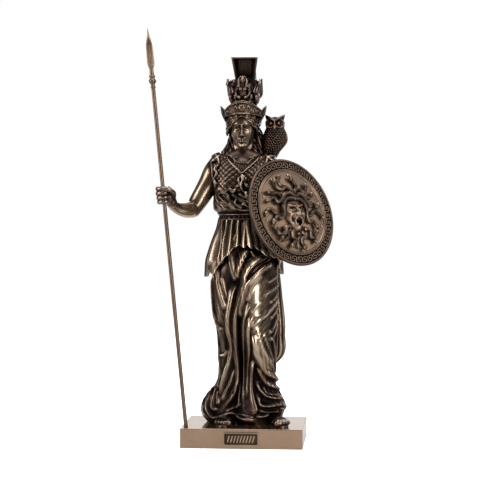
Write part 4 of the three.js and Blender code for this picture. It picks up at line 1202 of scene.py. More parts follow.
# Snakes that frame the shield's face, from their roots: out from its middle, up, and lift above those below.
# Each has a twin on the other side
snakeRows = [
    [(0.8, 12.4, 2.4), (5.4, 12.6, 2), (9.8, 10.2, 1.6), (12.8, 5.4, 1.2), (13, -0.6, 0.8),
     (15.8, -5, 0.6), (20.2, -4.2, 0.6), (23.4, -7.6, 0.4)],
    [(0.6, 14.6, 2.2), (5.2, 17, 1.8), (10.4, 15.4, 1.8), (13.6, 10.8, 1.4), (18, 9.2, 1),
     (21.4, 12, 0.8), (26, 10.4, 0.4)],
    [(0.8, 16.4, 1.6), (2.2, 20.6, 1.4), (7, 22.6, 1), (11.6, 20.4, 1), (15.8, 22.4, 0.6), (17, 26.8, 0.4)],
    [(8.4, -11.5, 1), (13, -13.4, 1.6), (14.8, -18, 1.4), (19.6, -18.4, 0.8), (22.8, -14.4, 0.6)],
    [(4.6, -14.8, 1), (7.2, -19.4, 1.4), (3.6, -23.2, 1), (6.4, -27.4, 0.6)],
]


def snakePaths():
    sizes = shieldSizes
    paths = []
    for side, lean in ((-1, 0.1), (1, -0.12)):
        for row in snakeRows:
            paths.append([(side * (x * cos(lean) - y * sin(lean)), y * cos(lean) + x * sin(lean), over)
                          for x, y, over in row])
    for k, degrees in enumerate(sizes["lowSnakes"]):
        # they radiate below the others, each at its angle, and wind from side to side
        way = radians(degrees)
        near = 0.9 / hypot(cos(way) / sizes["faceHalf"][0], sin(way) / sizes["faceHalf"][1])
        far = sizes["snakeReach"] - 2 + 2.4 * sin(k * 1.9)
        path = []
        for q in np.linspace(0, 1, 9):
            out = mix(near, far, q)
            aside = sizes["winding"] * sin(2 * pi * sizes["bends"] * q + 2.4 * k) * min(1, 3 * q)
            path.append((out * cos(way) - aside * sin(way), out * sin(way) + aside * cos(way), 0))
        paths.append(path)
    return paths


def gorgonSnakes():
    sizes = shieldSizes
    forms = []
    for k, path in enumerate(snakePaths()):
        width = sizes["snakeRadius"] * (1 - 0.06 * (k % 3))
        points = []
        for i, (x, y, over) in enumerate(path):
            # beside the face, except where they lie over its brow
            wide, tall = sizes["faceHalf"][:2]
            outward = 1 if over > 1.9 else max(1, 1.12 / hypot(x / wide, y / tall))
            x, y = sizes["faceX"] + x * outward, sizes["faceY"] + y * outward
            inward = min(1, sizes["snakeReach"] / (hypot(x, y) + 1.5))
            x, y = x * inward, y * inward
            high = float(fieldHeight(hypot(x, y)))
            points.append((x, y, high + 1.2 + 1.3 * over + (0.8 if i == len(path) - 1 else 0)))
        radii = [width * q for q in (0.9, 1, 1.05, 1.05, 1, 0.95, 0.86, 0.7)]
        forms.append(limb(points, radii, around=24, spacing=0.4, face=(0, 0, 1)))
        line = smoothLine(points, 20)
        way = Vector(line[-1] - line[-2]).normalized()
        head = mass((0, 0, 0), (width * 1.1, width * 1.8, width * 0.8), 28, 20, snakeHead)
        across = Vector((way.y, -way.x, 0)).normalized()
        turned = Matrix((across, way, across.cross(way))).transposed().to_4x4()
        turned.translation = Vector(line[-1]) + way * width * 0.5
        bmesh.ops.transform(head, matrix=turned, verts=head.verts)
        forms.append(head)
    return forms


def snakeHead(p, side):
    narrow = (1 - 0.5 * rise(0, 1, side[:, 1])) * (1 - 0.35 * rise(-0.3, -1, side[:, 1]))
    eyes = 0.35 * bump(np.abs(side[:, 0]) - 0.55, 0.18) * bump(side[:, 1] - 0.15, 0.22) * (side[:, 2] > 0)
    return np.column_stack([p[:, 0] * narrow, p[:, 1], p[:, 2] + eyes])


def aboveField(forms):
    # the relief stops just under the face of the shield
    for bm in forms:
        for v in bm.verts:
            v.co.z = max(v.co.z, float(fieldHeight(v.co.to_2d().length)) - 0.9)
    return forms


def strapForms():
    sizes = shieldSizes
    inShield = lambda p: np.array(toShield @ Vector(p))
    elbow, wrist, hand = inShield(leftElbow), inShield(leftWrist), inShield(leftHand)
    middle = mix(elbow, wrist, 0.45)
    along = unit((wrist - elbow) * [1, 1, 0])
    side = np.cross([0, 0, 1], along)
    inner = 7.7 + sizes["strapThick"] / 2
    top = float(fieldHeight(np.hypot(*middle[:2]))) - sizes["thick"] / 2 - middle[2]

    def strap(angle, share):
        # up one side, round under the arm and up the other
        straight = top / (2 * top + pi * inner)
        a = np.clip((share - straight) / (1 - 2 * straight), 0, 1) * pi
        lifted = np.where(share < straight, top * (1 - share / straight),
                         np.where(share > 1 - straight, top * (share - 1 + straight) / straight, 0))
        out = inner + sizes["strapThick"] / 2 * squared(np.sin(angle), 0.5)
        wide = sizes["strapWidth"] / 2 * squared(np.cos(angle), 0.4) * (1 + 0.5 * bump(lifted - top, 2))
        x, z = -out * np.cos(a), -out * np.sin(a) + lifted
        return middle + x[:, None] * side + z[:, None] * np.array([0, 0, 1]) + wide[:, None] * along
    half = sizes["gripHalf"]
    foot = lambda y: float(fieldHeight(np.hypot(hand[0], hand[1] + y))) - sizes["thick"] / 2
    bar = [(half, foot(half)), (half * 0.95, hand[2] * 0.7), (half * 0.55, hand[2]),
           (-half * 0.55, hand[2]), (-half * 0.95, hand[2] * 0.7), (-half, foot(-half))]
    radius = sizes["gripRadius"]
    forms = [rolled(40, 90, strap),
             limb([(hand[0], hand[1] + y, z) for y, z in bar],
                  [radius, radius, radius * 1.25, radius, radius], around=20)]
    for y in (half, -half):
        forms.append(mass((hand[0], hand[1] + y, foot(y) - 1.2), (3.4, 4.4, 0.9), 24, 12))
    return forms


# How much of the dark wash stays on each part: all of it at 1, and below 0 the part is rubbed brighter. The
# neck's value is a painted highlight, which lightens it where the chin shades it
wash = {"gown": 0.12, "overfold": -0.05, "cloak": 0.25, "chest": 0.5, "arms": -0.15, "hand": 0.8,
        "neck": -0.3, "feet": 0.15, "face": 0.1, "crest": 0.72, "seat": 1, "hair": 0.9, "waves": 0.5,
        "band": 0, "helmet": 0.8, "sphinx": 0.75, "beasts": 1, "gorgon": 0, "snakes": 0.95, "border": 0.72}
hemDarker = {"high": 52, "low": 14, "more": 0.75}  # the figure is darker towards the hem

# Down the front of her left leg the wash is taken off, rubbed brighter and painted as a highlight streak:
# height, x and how much
legRubbedAndHighlight = curve([[42, 23, 0], [50, 21.4, 0.3], [64, 16, 0.4], [82, 11.5, 0.5], [105, 11, 0.6],
                   [128, 12, 0.45], [138, 13, 0]])
legRubbedAndHighlightWide = 4.6


def castWithWash(parts, name, voxel, triangles):
    # casts the named parts as one, and gives the wash of the nearest part at each of its points
    places, amounts = [], []
    for part, forms in parts.items():
        for form in forms:
            near = [v.co.copy() for v in form.verts[:][::3]]
            places += near
            amounts += [wash[part]] * len(near)
    tree = KDTree(len(places))
    for i, place in enumerate(places):
        tree.insert(place, i)
    tree.balance()
    piece = joinForms([form for forms in parts.values() for form in forms], name)
    cast(piece, voxel, triangles, 1)

    def washes():
        return np.array([amounts[tree.find(v.co)[1]] for v in piece.data.vertices])
    return piece, washes


def toPlace(piece, matrix=None):
    # from millimetres above the plinth's top to the frame's metres
    if matrix is not None:
        piece.data.transform(matrix)
    piece.data.transform(Matrix.Scale(figureScale * millimetre, 4))
    piece.data.transform(Matrix.Translation((0, 0, groundHeight * millimetre)))
    piece.data.update()


def joinPieces(name, pieces):
    # one object of several, whose meshes stay as they are
    whole = bmesh.new()
    for piece in pieces:
        whole.from_mesh(piece.data)
        mesh = piece.data
        bpy.data.objects.remove(piece)
        bpy.data.meshes.remove(mesh)
    mesh = bpy.data.meshes.new(name)
    whole.to_mesh(mesh)
    whole.free()
    piece = bpy.data.objects.new(name, mesh)
    bpy.context.scene.collection.objects.link(piece)
    return piece


def shieldWear(points):
    # how proud the plain parts of the shield lie: dark between the keys, bright on its rims and rivets
    sizes = shieldSizes
    r, z = np.hypot(points[:, 0], points[:, 1]), points[:, 2]
    field = mix(0.52, 0.95, rise(0.3, 1, z - fieldHeight(r)))
    border = mix(0.12, 0.74, rise(-sizes["bandSunk"], -sizes["bandSunk"] + sizes["keyTall"], z))
    rim = mix(0.42, 0.64, rise(-1, 0.4, z))
    wear = np.where(r < sizes["field"] - 0.8, field, np.where(r < sizes["bandHigh"] - 0.2, border, rim))
    return np.where(z < fieldHeight(r) - sizes["thick"] + 0.3, 0.42, wear)


def makeShield():
    sizes = shieldSizes
    parts = {"gorgon": aboveField([gorgonFace()]), "snakes": aboveField(gorgonSnakes())}
    relief, reliefWash = castWithWash(parts, "relief", sizes["voxel"], sizes["triangles"])
    plain = joinForms([discForm()] + keyForms() + rivetForms() + strapForms(), "disc")
    points = readPoints(plain.data)
    plainWear = shieldWear(points)
    r = np.hypot(points[:, 0], points[:, 1])
    onBack = points[:, 2] < fieldHeight(r) - 1
    border = wash["border"] * np.where(onBack, 1, rise(sizes["field"] - 1.4, sizes["field"], r))
    washes = list(border) + list(reliefWash())
    shield = joinPieces("round_shield", [plain, relief])
    toPlace(shield, toFigure)
    return shield, plainWear, washes


# Owl: share of its height, half width, half depth, shift forward
owlRows = curve([
    [0, 3.4, 4, 0], [0.1, 5.6, 5.8, 0], [0.24, 8.3, 7.8, 0.5], [0.4, 9.1, 8.3, 0.8], [0.52, 8.7, 7.8, 0.8],
    [0.62, 8, 7.3, 1.2], [0.7, 8, 7.6, 1.7], [0.78, 8.3, 7.6, 1.9], [0.86, 8, 7, 1.7], [0.92, 6.6, 5.6, 1.2],
    [0.955, 3.6, 3, 0.8],
])
owlSizes = {
    "tall": 37.5, "top": 0.955, "foot": (25.9, 5, 229), "eyeX": 3.8, "eyeHeight": 30, "disc": 3.7,
    "featherWide": 1.25, "featherTall": 1.5, "featherDeep": 1.3, "lean": 5.2, "leanBelow": 17, "voxel": 0.28,
    "triangles": 58000,
}


def owlPoint(turn, z, out=0):
    share = z / owlSizes["tall"]
    return np.column_stack([(owlRows(share, 1) + out) * np.sin(turn),
                            -owlRows(share, 3) - (owlRows(share, 2) + out) * np.cos(turn), z])


def owlBody():
    sizes = owlSizes

    def place(turn, share):
        turn = turn - pi
        z = sizes["top"] * sizes["tall"] * share
        base = owlPoint(turn, z)
        x = base[:, 0]
        chestPart = rise(26, 23.5, z)
        u, row = turn * 8.4 / sizes["featherWide"], z / sizes["featherTall"] + 0.1 * np.sin(turn * 4)
        feather = np.abs(np.sin(pi / 2 * (u + row)) * np.sin(pi / 2 * (u - row))) ** 0.6
        feather = feather * (1.1 - 0.5 * (row % 1)) + 0.12 * np.sin(z * 2.9 + 3 * np.sin(turn * 5))
        out = chestPart * sizes["featherDeep"] * (feather - 0.4)
        dx, dz = np.abs(x) - sizes["eyeX"], z - sizes["eyeHeight"]
        r = np.hypot(dx, dz)
        ahead = rise(0.2, 0.5, np.cos(turn))
        disc = 1.0 * bump(r - sizes["disc"], 0.55) - 1.1 * rise(sizes["disc"], sizes["disc"] * 0.4, r)
        disc = disc + 0.22 * np.cos(np.arctan2(dz, dx) * 13) * bump(r - 2.5, 0.9) - 0.5 * bump(r - 1.75, 0.3)
        disc = disc + 1.1 * np.sqrt(np.maximum(1 - (r / 1.5) ** 2, 0))
        brow = (1.7 * bump(z - 32.2 - 0.62 * np.abs(x), 0.75)
                + 0.9 * bump(x, 0.65) * rise(24, 27, z) * rise(34, 32, z))
        streak = 0.25 * np.cos(z * 2.4 + 2.5 * np.abs(x)) * rise(26, 28, z) * (r > sizes["disc"] + 0.6)
        out = out + ahead * (1 - chestPart) * (disc * (z < 36) + brow) + (1 - chestPart) * streak
        return owlPoint(turn, z, out)
    return rolled(340, 320, place)


def owlForms():
    sizes = owlSizes
    tall = sizes["tall"]
    forms = [owlBody()]
    for side in (-1, 1):
        forms.append(limb([(side * 3.4, -2.6, tall * 0.86), (side * 6.4, -3, tall * 0.93),
                           (side * 8.3, -3, tall)],
                          [2.6, 2, 0.35], around=24, spacing=0.3))
        forms.append(limb([(side * 0.6, -8.2, 33), (side * 3.4, -7.8, 34.4), (side * 7, -4.6, 36.4),
                           (side * 8.4, -3.6, 37.4)],
                          [0.6, 0.9, 0.9, 0.4], around=12, spacing=0.3))
        wing = [(side * 7.4, 0.6, 25), (side * 9, 0.8, 19), (side * 8.6, 2, 11), (side * 5.6, 5.4, 2),
                (side * 3.4, 7.4, -3)]
        feathered = lambda angle, t: (1 + 0.08 * np.abs(np.cos(angle * 7 + t * 4)) * rise(0.3, 0.7, t)
                                      + 0.07 * np.cos(angle * 8) * np.cos(t * 60) * rise(0.6, 0.3, t))
        forms.append(limb(wing, [2.4, 3.9, 4.3, 3.2, 0.9], around=90, spacing=0.3, flat=0.42,
                          face=(side, 0.1, 0), shape=feathered))
        for k in range(4):
            root = np.array([side * (9.1 - 0.2 * k), 1 + 1.2 * k, 17 - 1.5 * k])
            forms.append(limb([root, root + [-side * 1.2, 1.2, -8], root + [-side * 4.2, 4.6, -17]],
                              [0.9, 1.1, 0.4], around=12, spacing=0.4))
        for claw in (-1, 0, 1):
            toe = [(side * 3.4 + claw * 1.3, -5, 1.8), (side * 3.4 + claw * 1.7, -7.4, 1.2),
                   (side * 3.4 + claw * 1.8, -8.6, -0.4)]
            forms.append(limb(toe, [0.95, 0.9, 0.4], around=12, spacing=0.3))
    forms.append(limb([(0, 7, 12), (0, 10, 3), (0, 11, -6)], [4.2, 3.9, 2.6], around=60, spacing=0.4,
                      flat=0.5, face=(0, 1, 0.2),
                      shape=lambda angle, t: 1 + 0.08 * np.abs(np.cos(angle * 6))))
    forms.append(limb([(0, -9, 27.8), (0, -10.7, 26), (0, -10.2, 23.8)], [1.3, 1.2, 0.3], around=20,
                      spacing=0.25))
    return forms


def makeOwl():
    owl = joinForms(owlForms(), "perched_owl")
    points = readPoints(owl.data)
    low = rise(owlSizes["leanBelow"], 0, points[:, 2])
    points[:, 0] = points[:, 0] * (1 - 0.12 * rise(14, 6, points[:, 2])) - owlSizes["lean"] * low
    writePoints(owl.data, points)
    cast(owl, owlSizes["voxel"], owlSizes["triangles"], 1)
    toPlace(owl, Matrix.Translation(owlSizes["foot"]))
    return owl


# Spear along its own axis, from its foot to its point
spearSizes = {"length": 340, "radius": 1.7, "head": 48, "wide": 3.3, "thick": 1.5, "knop": 3.3}


def makeSpear():
    sizes = spearSizes
    neck = sizes["length"] - sizes["head"]
    r, knop = sizes["radius"], sizes["knop"]
    rings = np.array([
        (-0.2, r), (neck - 3, r), (neck - 2.6, r + 0.5), (neck - 1.6, r + 0.5), (neck - 1.1, r + 0.1),
        (neck + 0.4, r + 0.2), (neck + 1.2, knop * 0.7), (neck + 2, knop * 0.92), (neck + 3, knop),
        (neck + 4, knop * 0.92), (neck + 4.8, knop * 0.7), (neck + 5.6, r + 0.3), (neck + 6.2, r + 0.9),
        (neck + 7.6, r + 0.9), (neck + 8.2, r + 0.2), (neck + 14, r), (neck + 20, r * 0.8),
        (neck + 30, r * 0.5), (sizes["length"] - 4, 0.3),
    ])

    def rodPlace(turn, share):
        z = np.where(share < 0.3, mix(-0.2, neck - 3.2, share / 0.3),
                     mix(neck - 3.2, sizes["length"] - 4, (share - 0.3) / 0.7))
        out = np.interp(z, rings[:, 0], rings[:, 1])
        return np.column_stack([out * np.sin(turn), -out * np.cos(turn), z])

    def bladePlace(turn, share):
        # a leaf with sharp edges and a raised middle
        z = mix(neck + 10, sizes["length"], share)
        t = (z - neck - 10) / (sizes["head"] - 10)
        wide = sizes["wide"] * (rise(-0.02, 0.22, t) * (1 - 0.35 * t) * (1 - rise(0.6, 1, t) * 0.97)) + 0.12
        thin = sizes["thick"] * (1 - t * 0.7)
        edge = np.abs(np.sin(turn))
        return np.column_stack([wide * squared(np.sin(turn), 1.1),
                                -thin * (np.cos(turn) * (1 - edge) ** 0.6 * 0.7 + 0.12 * np.cos(turn)), z])
    spear = joinForms([rolled(28, 220, rodPlace), rolled(40, 90, bladePlace)], "long_spear")
    turned = Vector((0, 0, 1)).rotation_difference(Vector(spearDirection)).to_matrix().to_4x4()
    toPlace(spear, Matrix.Translation(spearFoot) @ turned)
    return spear


# Plinth and name plate, in metres
plinthSizes = {"bevel": 0.0007, "segments": 3}
plateSizes = {"corner": 2.4, "border": 1.2, "sunk": 0.6, "strokes": 9, "strokeTall": 2.5,
              "strokeRadius": 0.55, "lean": 0.3}


def makePlinth():
    low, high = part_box("plinth")
    bm = bmesh.new()
    bmesh.ops.create_cube(bm, size=1)
    bmesh.ops.scale(bm, vec=high - low, verts=bm.verts)
    bmesh.ops.translate(bm, vec=(low + high) / 2, verts=bm.verts)
    bmesh.ops.bevel(bm, geom=bm.edges, offset=plinthSizes["bevel"], offset_type="OFFSET",
                    segments=plinthSizes["segments"], profile=0.5, affect="EDGES", material=-1)
    mesh = bpy.data.meshes.new("plinth_block")
    bm.to_mesh(mesh)
    bm.free()
    piece = bpy.data.objects.new("plinth_block", mesh)
    bpy.context.scene.collection.objects.link(piece)
    return piece


def makePlate():
    # a rounded plate with a raised border round a sunk field, and a row of leaning strokes
    sizes = plateSizes
    low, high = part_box("nameplate")
    half = (high - low) / 2 / millimetre
    bm = bmesh.new()
    bmesh.ops.create_grid(bm, x_segments=1, y_segments=1, size=1)
    bmesh.ops.scale(bm, vec=(half.x, half.z, 1), verts=bm.verts)
    bmesh.ops.bevel(bm, geom=bm.verts, offset=sizes["corner"], offset_type="OFFSET", segments=6, profile=0.5,
                    affect="VERTICES", material=-1)
    top = bmesh.ops.extrude_face_region(bm, geom=bm.faces)
    lifted = [v for v in top["geom"] if isinstance(v, bmesh.types.BMVert)]
    deep = half.y * 2
    bmesh.ops.translate(bm, vec=(0, 0, deep), verts=lifted)
    face = [f for f in top["geom"] if isinstance(f, bmesh.types.BMFace)]
    rim = [e for e in face[0].edges]
    bmesh.ops.bevel(bm, geom=rim, offset=0.3, offset_type="OFFSET", segments=2, profile=0.5,
                    affect="EDGES", material=-1)
    bm.faces.ensure_lookup_table()
    face = [max(bm.faces, key=lambda f: (f.calc_center_median().z, f.calc_area()))]
    bmesh.ops.inset_region(bm, faces=face, thickness=sizes["border"] - 0.3, use_even_offset=True)
    bmesh.ops.inset_region(bm, faces=face, thickness=0.25, depth=-sizes["sunk"], use_even_offset=True)
    bmesh.ops.recalc_face_normals(bm, faces=bm.faces)
    floor = deep - sizes["sunk"]
    usable = half.x - sizes["border"] - 2.2
    forms = [bm]
    tall, lean = sizes["strokeTall"], sizes["lean"]
    for k in range(sizes["strokes"]):
        x = mix(-usable, usable, (k + 0.5) / sizes["strokes"])
        forms.append(limb([(x - lean * tall, -tall, floor), (x + lean * tall, tall, floor)],
                          [sizes["strokeRadius"]] * 2, around=12, spacing=0.4, face=(0, 0, 1)))
    piece = joinForms(forms, "name_plate")
    height = readPoints(piece.data)[:, 2]
    layValues(piece, "fineWear", mix(0.05, 0.38, rise(0, floor, height))
              + 0.45 * rise(floor + 0.1, floor + 0.4, height))
    middle = (low + high) / 2
    place = Matrix.Translation((middle.x, high.y, middle.z))
    piece.data.transform(place @ Matrix.Rotation(pi / 2, 4, "X") @ Matrix.Scale(millimetre, 4))
    return piece


# The figure: cast in two parts, finer for the head, and joined
figureSizes = {
    "bodyVoxel": 0.42, "headVoxel": 0.26, "bodyTriangles": 122000, "headTriangles": 70000,
    "shieldRoom": 0.25, "shieldMargin": 0.6, "shieldReach": 14,
}


def besideShield(piece):
    # what would reach through the shield lies flat against its back
    sizes = shieldSizes
    points = readPoints(piece.data)
    matrix = np.array(toShield)
    inside = points @ matrix[:3, :3].T + matrix[:3, 3]
    r = np.hypot(inside[:, 0], inside[:, 1])
    back = fieldHeight(r) - sizes["thick"] - figureSizes["shieldRoom"]
    reach = r < sizes["radius"] + figureSizes["shieldMargin"]
    reach = reach & (inside[:, 2] > back) & (inside[:, 2] < back + figureSizes["shieldReach"])
    inside[reach, 2] = back[reach]
    matrix = np.array(toFigure)
    writePoints(piece.data, inside @ matrix[:3, :3].T + matrix[:3, 3])


def cutAtGround(piece):
    bm = bmesh.new()
    bm.from_mesh(piece.data)
    bmesh.ops.bisect_plane(bm, geom=bm.verts[:] + bm.edges[:] + bm.faces[:], plane_co=(0, 0, 0),
                           plane_no=(0, 0, -1), clear_outer=True)
    bmesh.ops.holes_fill(bm, edges=[e for e in bm.edges if e.is_boundary], sides=0)
    bmesh.ops.triangulate(bm, faces=[f for f in bm.faces if len(f.verts) > 4])
    bm.to_mesh(piece.data)
    bm.free()


def makeFigure():
    sizes = figureSizes
    body, bodyWash = castWithWash({
        "gown": [gownForm()], "overfold": [overfoldForm()], "cloak": [cloakForm()], "chest": chestForms(),
        "arms": armForms(), "hand": rightHand(), "neck": neckForms(),
        "feet": footForms(-15.8, -17, -4, 1) + footForms(30.5, -17, 18, -1),
    }, "body", sizes["bodyVoxel"], sizes["bodyTriangles"])
    besideShield(body)
    cutAtGround(body)
    head, headWash = castWithWash({
        "face": [headForm()], "crest": [crestForm()], "hair": lockForms(), "waves": waveForms(),
        "band": [bandForm()] + bandRelief(), "helmet": helmetForms(), "sphinx": sphinxForms(),
        "beasts": beastForms(), "seat": seatForms(),
    }, "head", sizes["headVoxel"], sizes["headTriangles"])
    x, y, h = readPoints(body.data).T
    # darker towards the hem
    more = hemDarker["more"] * rise(hemDarker["high"], hemDarker["low"], h)
    # a painted highlight, partly rubbing, down her left thigh and shin where the wash is taken off
    rubbedAndHighlight = legRubbedAndHighlight(h, 2) * bump(x - legRubbedAndHighlight(h, 1), legRubbedAndHighlightWide) * (y < -8)
    washes = list(bodyWash() + more - rubbedAndHighlight) + list(headWash())
    figure = joinPieces("goddess_figure", [body, head])
    toPlace(figure)
    return figure, washes


figure, figureWash = makeFigure()
shield, plainWear, shieldWash = makeShield()
owl = makeOwl()
spear = makeSpear()
plinthBlock = makePlinth()
namePlate = makePlate()
for piece in (figure, shield, owl, spear, plinthBlock, namePlate):
    print(f"{piece.name}: {len(piece.data.polygons)} faces")

# Each piece with the CAD node that it stands for and its finish
for piece, node, finish in (
    (figure, "figure", "figure_bronze"), (shield, "shield", "shield_bronze"),
    (owl, "owl", "owl_bronze"), (spear, "spear", "spear_bronze"),
    (plinthBlock, "plinth", "plinth_bronze"), (namePlate, "nameplate", "plate_bronze"),
):
    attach(piece, "root")
    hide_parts(node)


# Finish: cold-cast bronze resin with a rubbed patina. Hollows keep a dark brown wash, and the high places
# are rubbed to bright metal
def linear(hexColour):
    parts = [int(hexColour[i:i + 2], 16) / 255 for i in (1, 3, 5)]
    return [c / 12.92 if c <= 0.04045 else ((c + 0.055) / 1.055) ** 2.4 for c in parts] + [1.0]


def surveyed(piece, scales):
    # how hollow (towards 0) or proud (towards 1) each point is, against its surroundings at several widths
    # in millimetres, with the height that counts as fully proud
    mesh = piece.data
    count = len(mesh.vertices)
    points = readPoints(mesh) / millimetre
    pairs = np.empty(len(mesh.edges) * 2, dtype=np.int32)
    mesh.edges.foreach_get("vertices", pairs)
    a, b = pairs.reshape(-1, 2).T
    gap = np.linalg.norm(points[a] - points[b], axis=1)
    normals = np.empty(count * 3)
    mesh.vertices.foreach_get("normal", normals)
    normals = normals.reshape(-1, 3)
    weight = 1 / np.maximum(gap, 0.05)
    total = np.bincount(a, weight, count) + np.bincount(b, weight, count) + 1e-9
    smooth = points.copy()
    done = 0
    for name, width, reach in scales:
        steps = int(width ** 2 / max(np.median(gap), 0.3) ** 2 * 2) + 1
        for _ in range(steps - done):
            smooth = np.column_stack([
                (np.bincount(a, weight * smooth[b, k], count)
                 + np.bincount(b, weight * smooth[a, k], count)) / total
                for k in range(3)]) * 0.7 + smooth * 0.3
        done = steps
        proud = ((points - smooth) * normals).sum(1) / reach
        layValues(piece, name, 0.5 + 0.5 * proud)
    print(piece.name, "surveyed")


def addNode(tree, kind, settings=None, links=None, stops=()):
    # a node with its settings, its inputs given as values or as another node's output, and a ramp's stops
    node = tree.nodes.new(kind)
    for name, value in (settings or {}).items():
        setattr(node, name, value)
    for name, value in (links or {}).items():
        socket = node.inputs[name]
        if isinstance(value, bpy.types.NodeSocket):
            tree.links.new(value, socket)
        else:
            socket.default_value = value
    stops = list(stops)
    if stops:
        marks = node.color_ramp.elements
        while len(marks) < len(stops):
            marks.new(0.5)
        for mark, (at, colour) in zip(marks, stops):
            mark.position = at
            mark.color = linear(colour) if isinstance(colour, str) else (colour, colour, colour, 1)
    return node


patinaSteps = (0.12, 0.34, 0.52, 0.7, 0.95)  # hollow, shaded, level, raised, rubbed edge
roughSteps = (0.2, 0.6)  # hollow, raised
cloudSize, speckSize, dentDeep = 0.022, 0.0026, 0.0004  # metres
evenWear = 0.55  # where a piece has no surveyed wear
spots = 0.2  # how much the clouds and specks shift the wear


def patina(name, colours, rough, fine, washed, grain):
    # colours go from the deepest hollow to the rubbed edge, as do the washed ones, which show where the wash
    # stays. rough is the hollows' roughness and the raised places'
    material = bpy.data.materials.new(name)
    material.use_nodes = True
    tree = material.node_tree
    shader = tree.nodes["Principled BSDF"]
    place = addNode(tree, "ShaderNodeTexCoord").outputs["Object"]
    cloud = addNode(tree, "ShaderNodeTexNoise", {},
                    {"Vector": place, "Scale": 1 / cloudSize, "Detail": 4.0, "Roughness": 0.6})
    speck = addNode(tree, "ShaderNodeTexNoise", {},
                    {"Vector": place, "Scale": 1 / speckSize, "Detail": 3.0, "Roughness": 0.65})
    wear = evenWear
    if fine:
        wear = None
        for attribute, share in fine:
            seen = addNode(tree, "ShaderNodeAttribute", {"attribute_name": attribute}).outputs["Fac"]
            part = addNode(tree, "ShaderNodeMath", {"operation": "MULTIPLY"}, {0: seen, 1: share}).outputs[0]
            if wear is not None:
                part = addNode(tree, "ShaderNodeMath", {"operation": "ADD"}, {0: wear, 1: part}).outputs[0]
            wear = part
    clouded = addNode(tree, "ShaderNodeMath", {"operation": "MULTIPLY_ADD"},
                      {0: cloud.outputs["Fac"], 1: spots, 2: -spots / 2})
    specked = addNode(tree, "ShaderNodeMath", {"operation": "MULTIPLY_ADD"},
                      {0: speck.outputs["Fac"], 1: spots * 0.5, 2: -spots / 4})
    drift = addNode(tree, "ShaderNodeMath", {"operation": "ADD"},
                    {0: clouded.outputs[0], 1: specked.outputs[0]})
    if washed:
        amount = addNode(tree, "ShaderNodeAttribute", {"attribute_name": "wash"}).outputs["Fac"]
        rubbed = addNode(tree, "ShaderNodeMath", {"operation": "MULTIPLY", "use_clamp": True},
                         {0: amount, 1: -1.0})
        wear = addNode(tree, "ShaderNodeMath", {"operation": "ADD"},
                       {0: rubbed.outputs[0], 1: wear}).outputs[0]
    level = addNode(tree, "ShaderNodeMath", {"operation": "ADD", "use_clamp": True},
                    {0: drift.outputs[0], 1: wear}).outputs[0]
    colour = addNode(tree, "ShaderNodeValToRGB", {}, {"Fac": level}, zip(patinaSteps, colours)).outputs[0]
    if washed:
        dark = addNode(tree, "ShaderNodeValToRGB", {}, {"Fac": level}, zip(patinaSteps, washed)).outputs[0]
        colour = addNode(tree, "ShaderNodeMix", {"data_type": "RGBA"},
                         {0: amount, 6: colour, 7: dark}).outputs[2]
    tree.links.new(colour, shader.inputs["Base Color"])
    roughness = addNode(tree, "ShaderNodeValToRGB", {}, {"Fac": level}, zip(roughSteps, rough))
    tree.links.new(roughness.outputs[0], shader.inputs["Roughness"])
    shader.inputs["Metallic"].default_value = 0.95
    dents = addNode(tree, "ShaderNodeBump", {},
                    {"Height": speck.outputs["Fac"], "Strength": grain, "Distance": dentDeep})
    tree.links.new(dents.outputs["Normal"], shader.inputs["Normal"])
    return material


figureScales = [("fineWear", 0.9, 0.22), ("foldWear", 2.4, 0.8), ("formWear", 6, 2.4)]
shieldScales = [("fineWear", 0.8, 0.25), ("foldWear", 2, 0.8)]
surveyed(figure, figureScales)
layValues(figure, "wash", figureWash, -1)
surveyed(shield, shieldScales)
layValues(shield, "fineWear", plainWear)
layValues(shield, "foldWear", plainWear)
layValues(shield, "wash", shieldWash, -1)
surveyed(owl, shieldScales)

# Piece, name, colours and roughness from hollow to edge, surveyed wear with its share, washed colours, grain
bronzes = [
    (figure, "rubbed cast bronze", ["#060504", "#1A1410", "#54443A", "#7C6957", "#B5A18A"], (0.55, 0.26),
     [("fineWear", 0.3), ("foldWear", 0.4), ("formWear", 0.3)],
     ["#040303", "#0B0707", "#241917", "#3E302C", "#6E5D54"], 0.12),
    (shield, "rubbed shield bronze", ["#0A0706", "#1E1815", "#7A6454", "#87705D", "#B5A088"], (0.5, 0.32),
     [("fineWear", 0.5), ("foldWear", 0.5)], ["#030202", "#090706", "#261D18", "#4B3C32", "#937F6A"], 0.12),
    (owl, "dark owl bronze", ["#060404", "#140E0C", "#2E2420", "#493830", "#7A6454"], (0.55, 0.34),
     [("fineWear", 0.5), ("foldWear", 0.5)], None, 0.12),
    (spear, "drawn spear bronze", ["#15100D", "#2E241E", "#665244", "#7C6654", "#AC9781"], (0.42, 0.3),
     None, None, 0.12),
    (plinthBlock, "plinth bronze", ["#503F33", "#806857", "#A38871", "#B89D86", "#CDB8A2"], (0.2, 0.12),
     None, None, 0.04),
    (namePlate, "name plate bronze", ["#120D0A", "#3A2D24", "#6E5A48", "#96806A", "#B8A086"], (0.4, 0.32),
     [("fineWear", 1)], None, 0.12),
]
for piece, name, colours, rough, fine, washed, grain in bronzes:
    material = patina(name, colours, rough, fine, washed, grain)
    piece.data.materials.clear()
    piece.data.materials.append(material)
    piece.data.shade_smooth()

sharpAngle = 32  # degrees, past which an edge of the plinth or the plate stays sharp
for piece in (plinthBlock, namePlate):
    piece.data.set_sharp_from_angle(angle=radians(sharpAngle))
    even = piece.modifiers.new("even normals", "WEIGHTED_NORMAL")
    even.keep_sharp = True
print("finishes done")


# Floor, lights and camera. The paper and the room are white where the camera sees them, and dimmer where the
# bronze mirrors them
studio = {
    "floorHalf": 12, "paperSeen": 0.9, "paperMirrored": 0.35, "glowMirrored": 0.32, "glowMore": 0.61,
    "roomSeen": 1.0, "roomMirrored": 0.11,
}


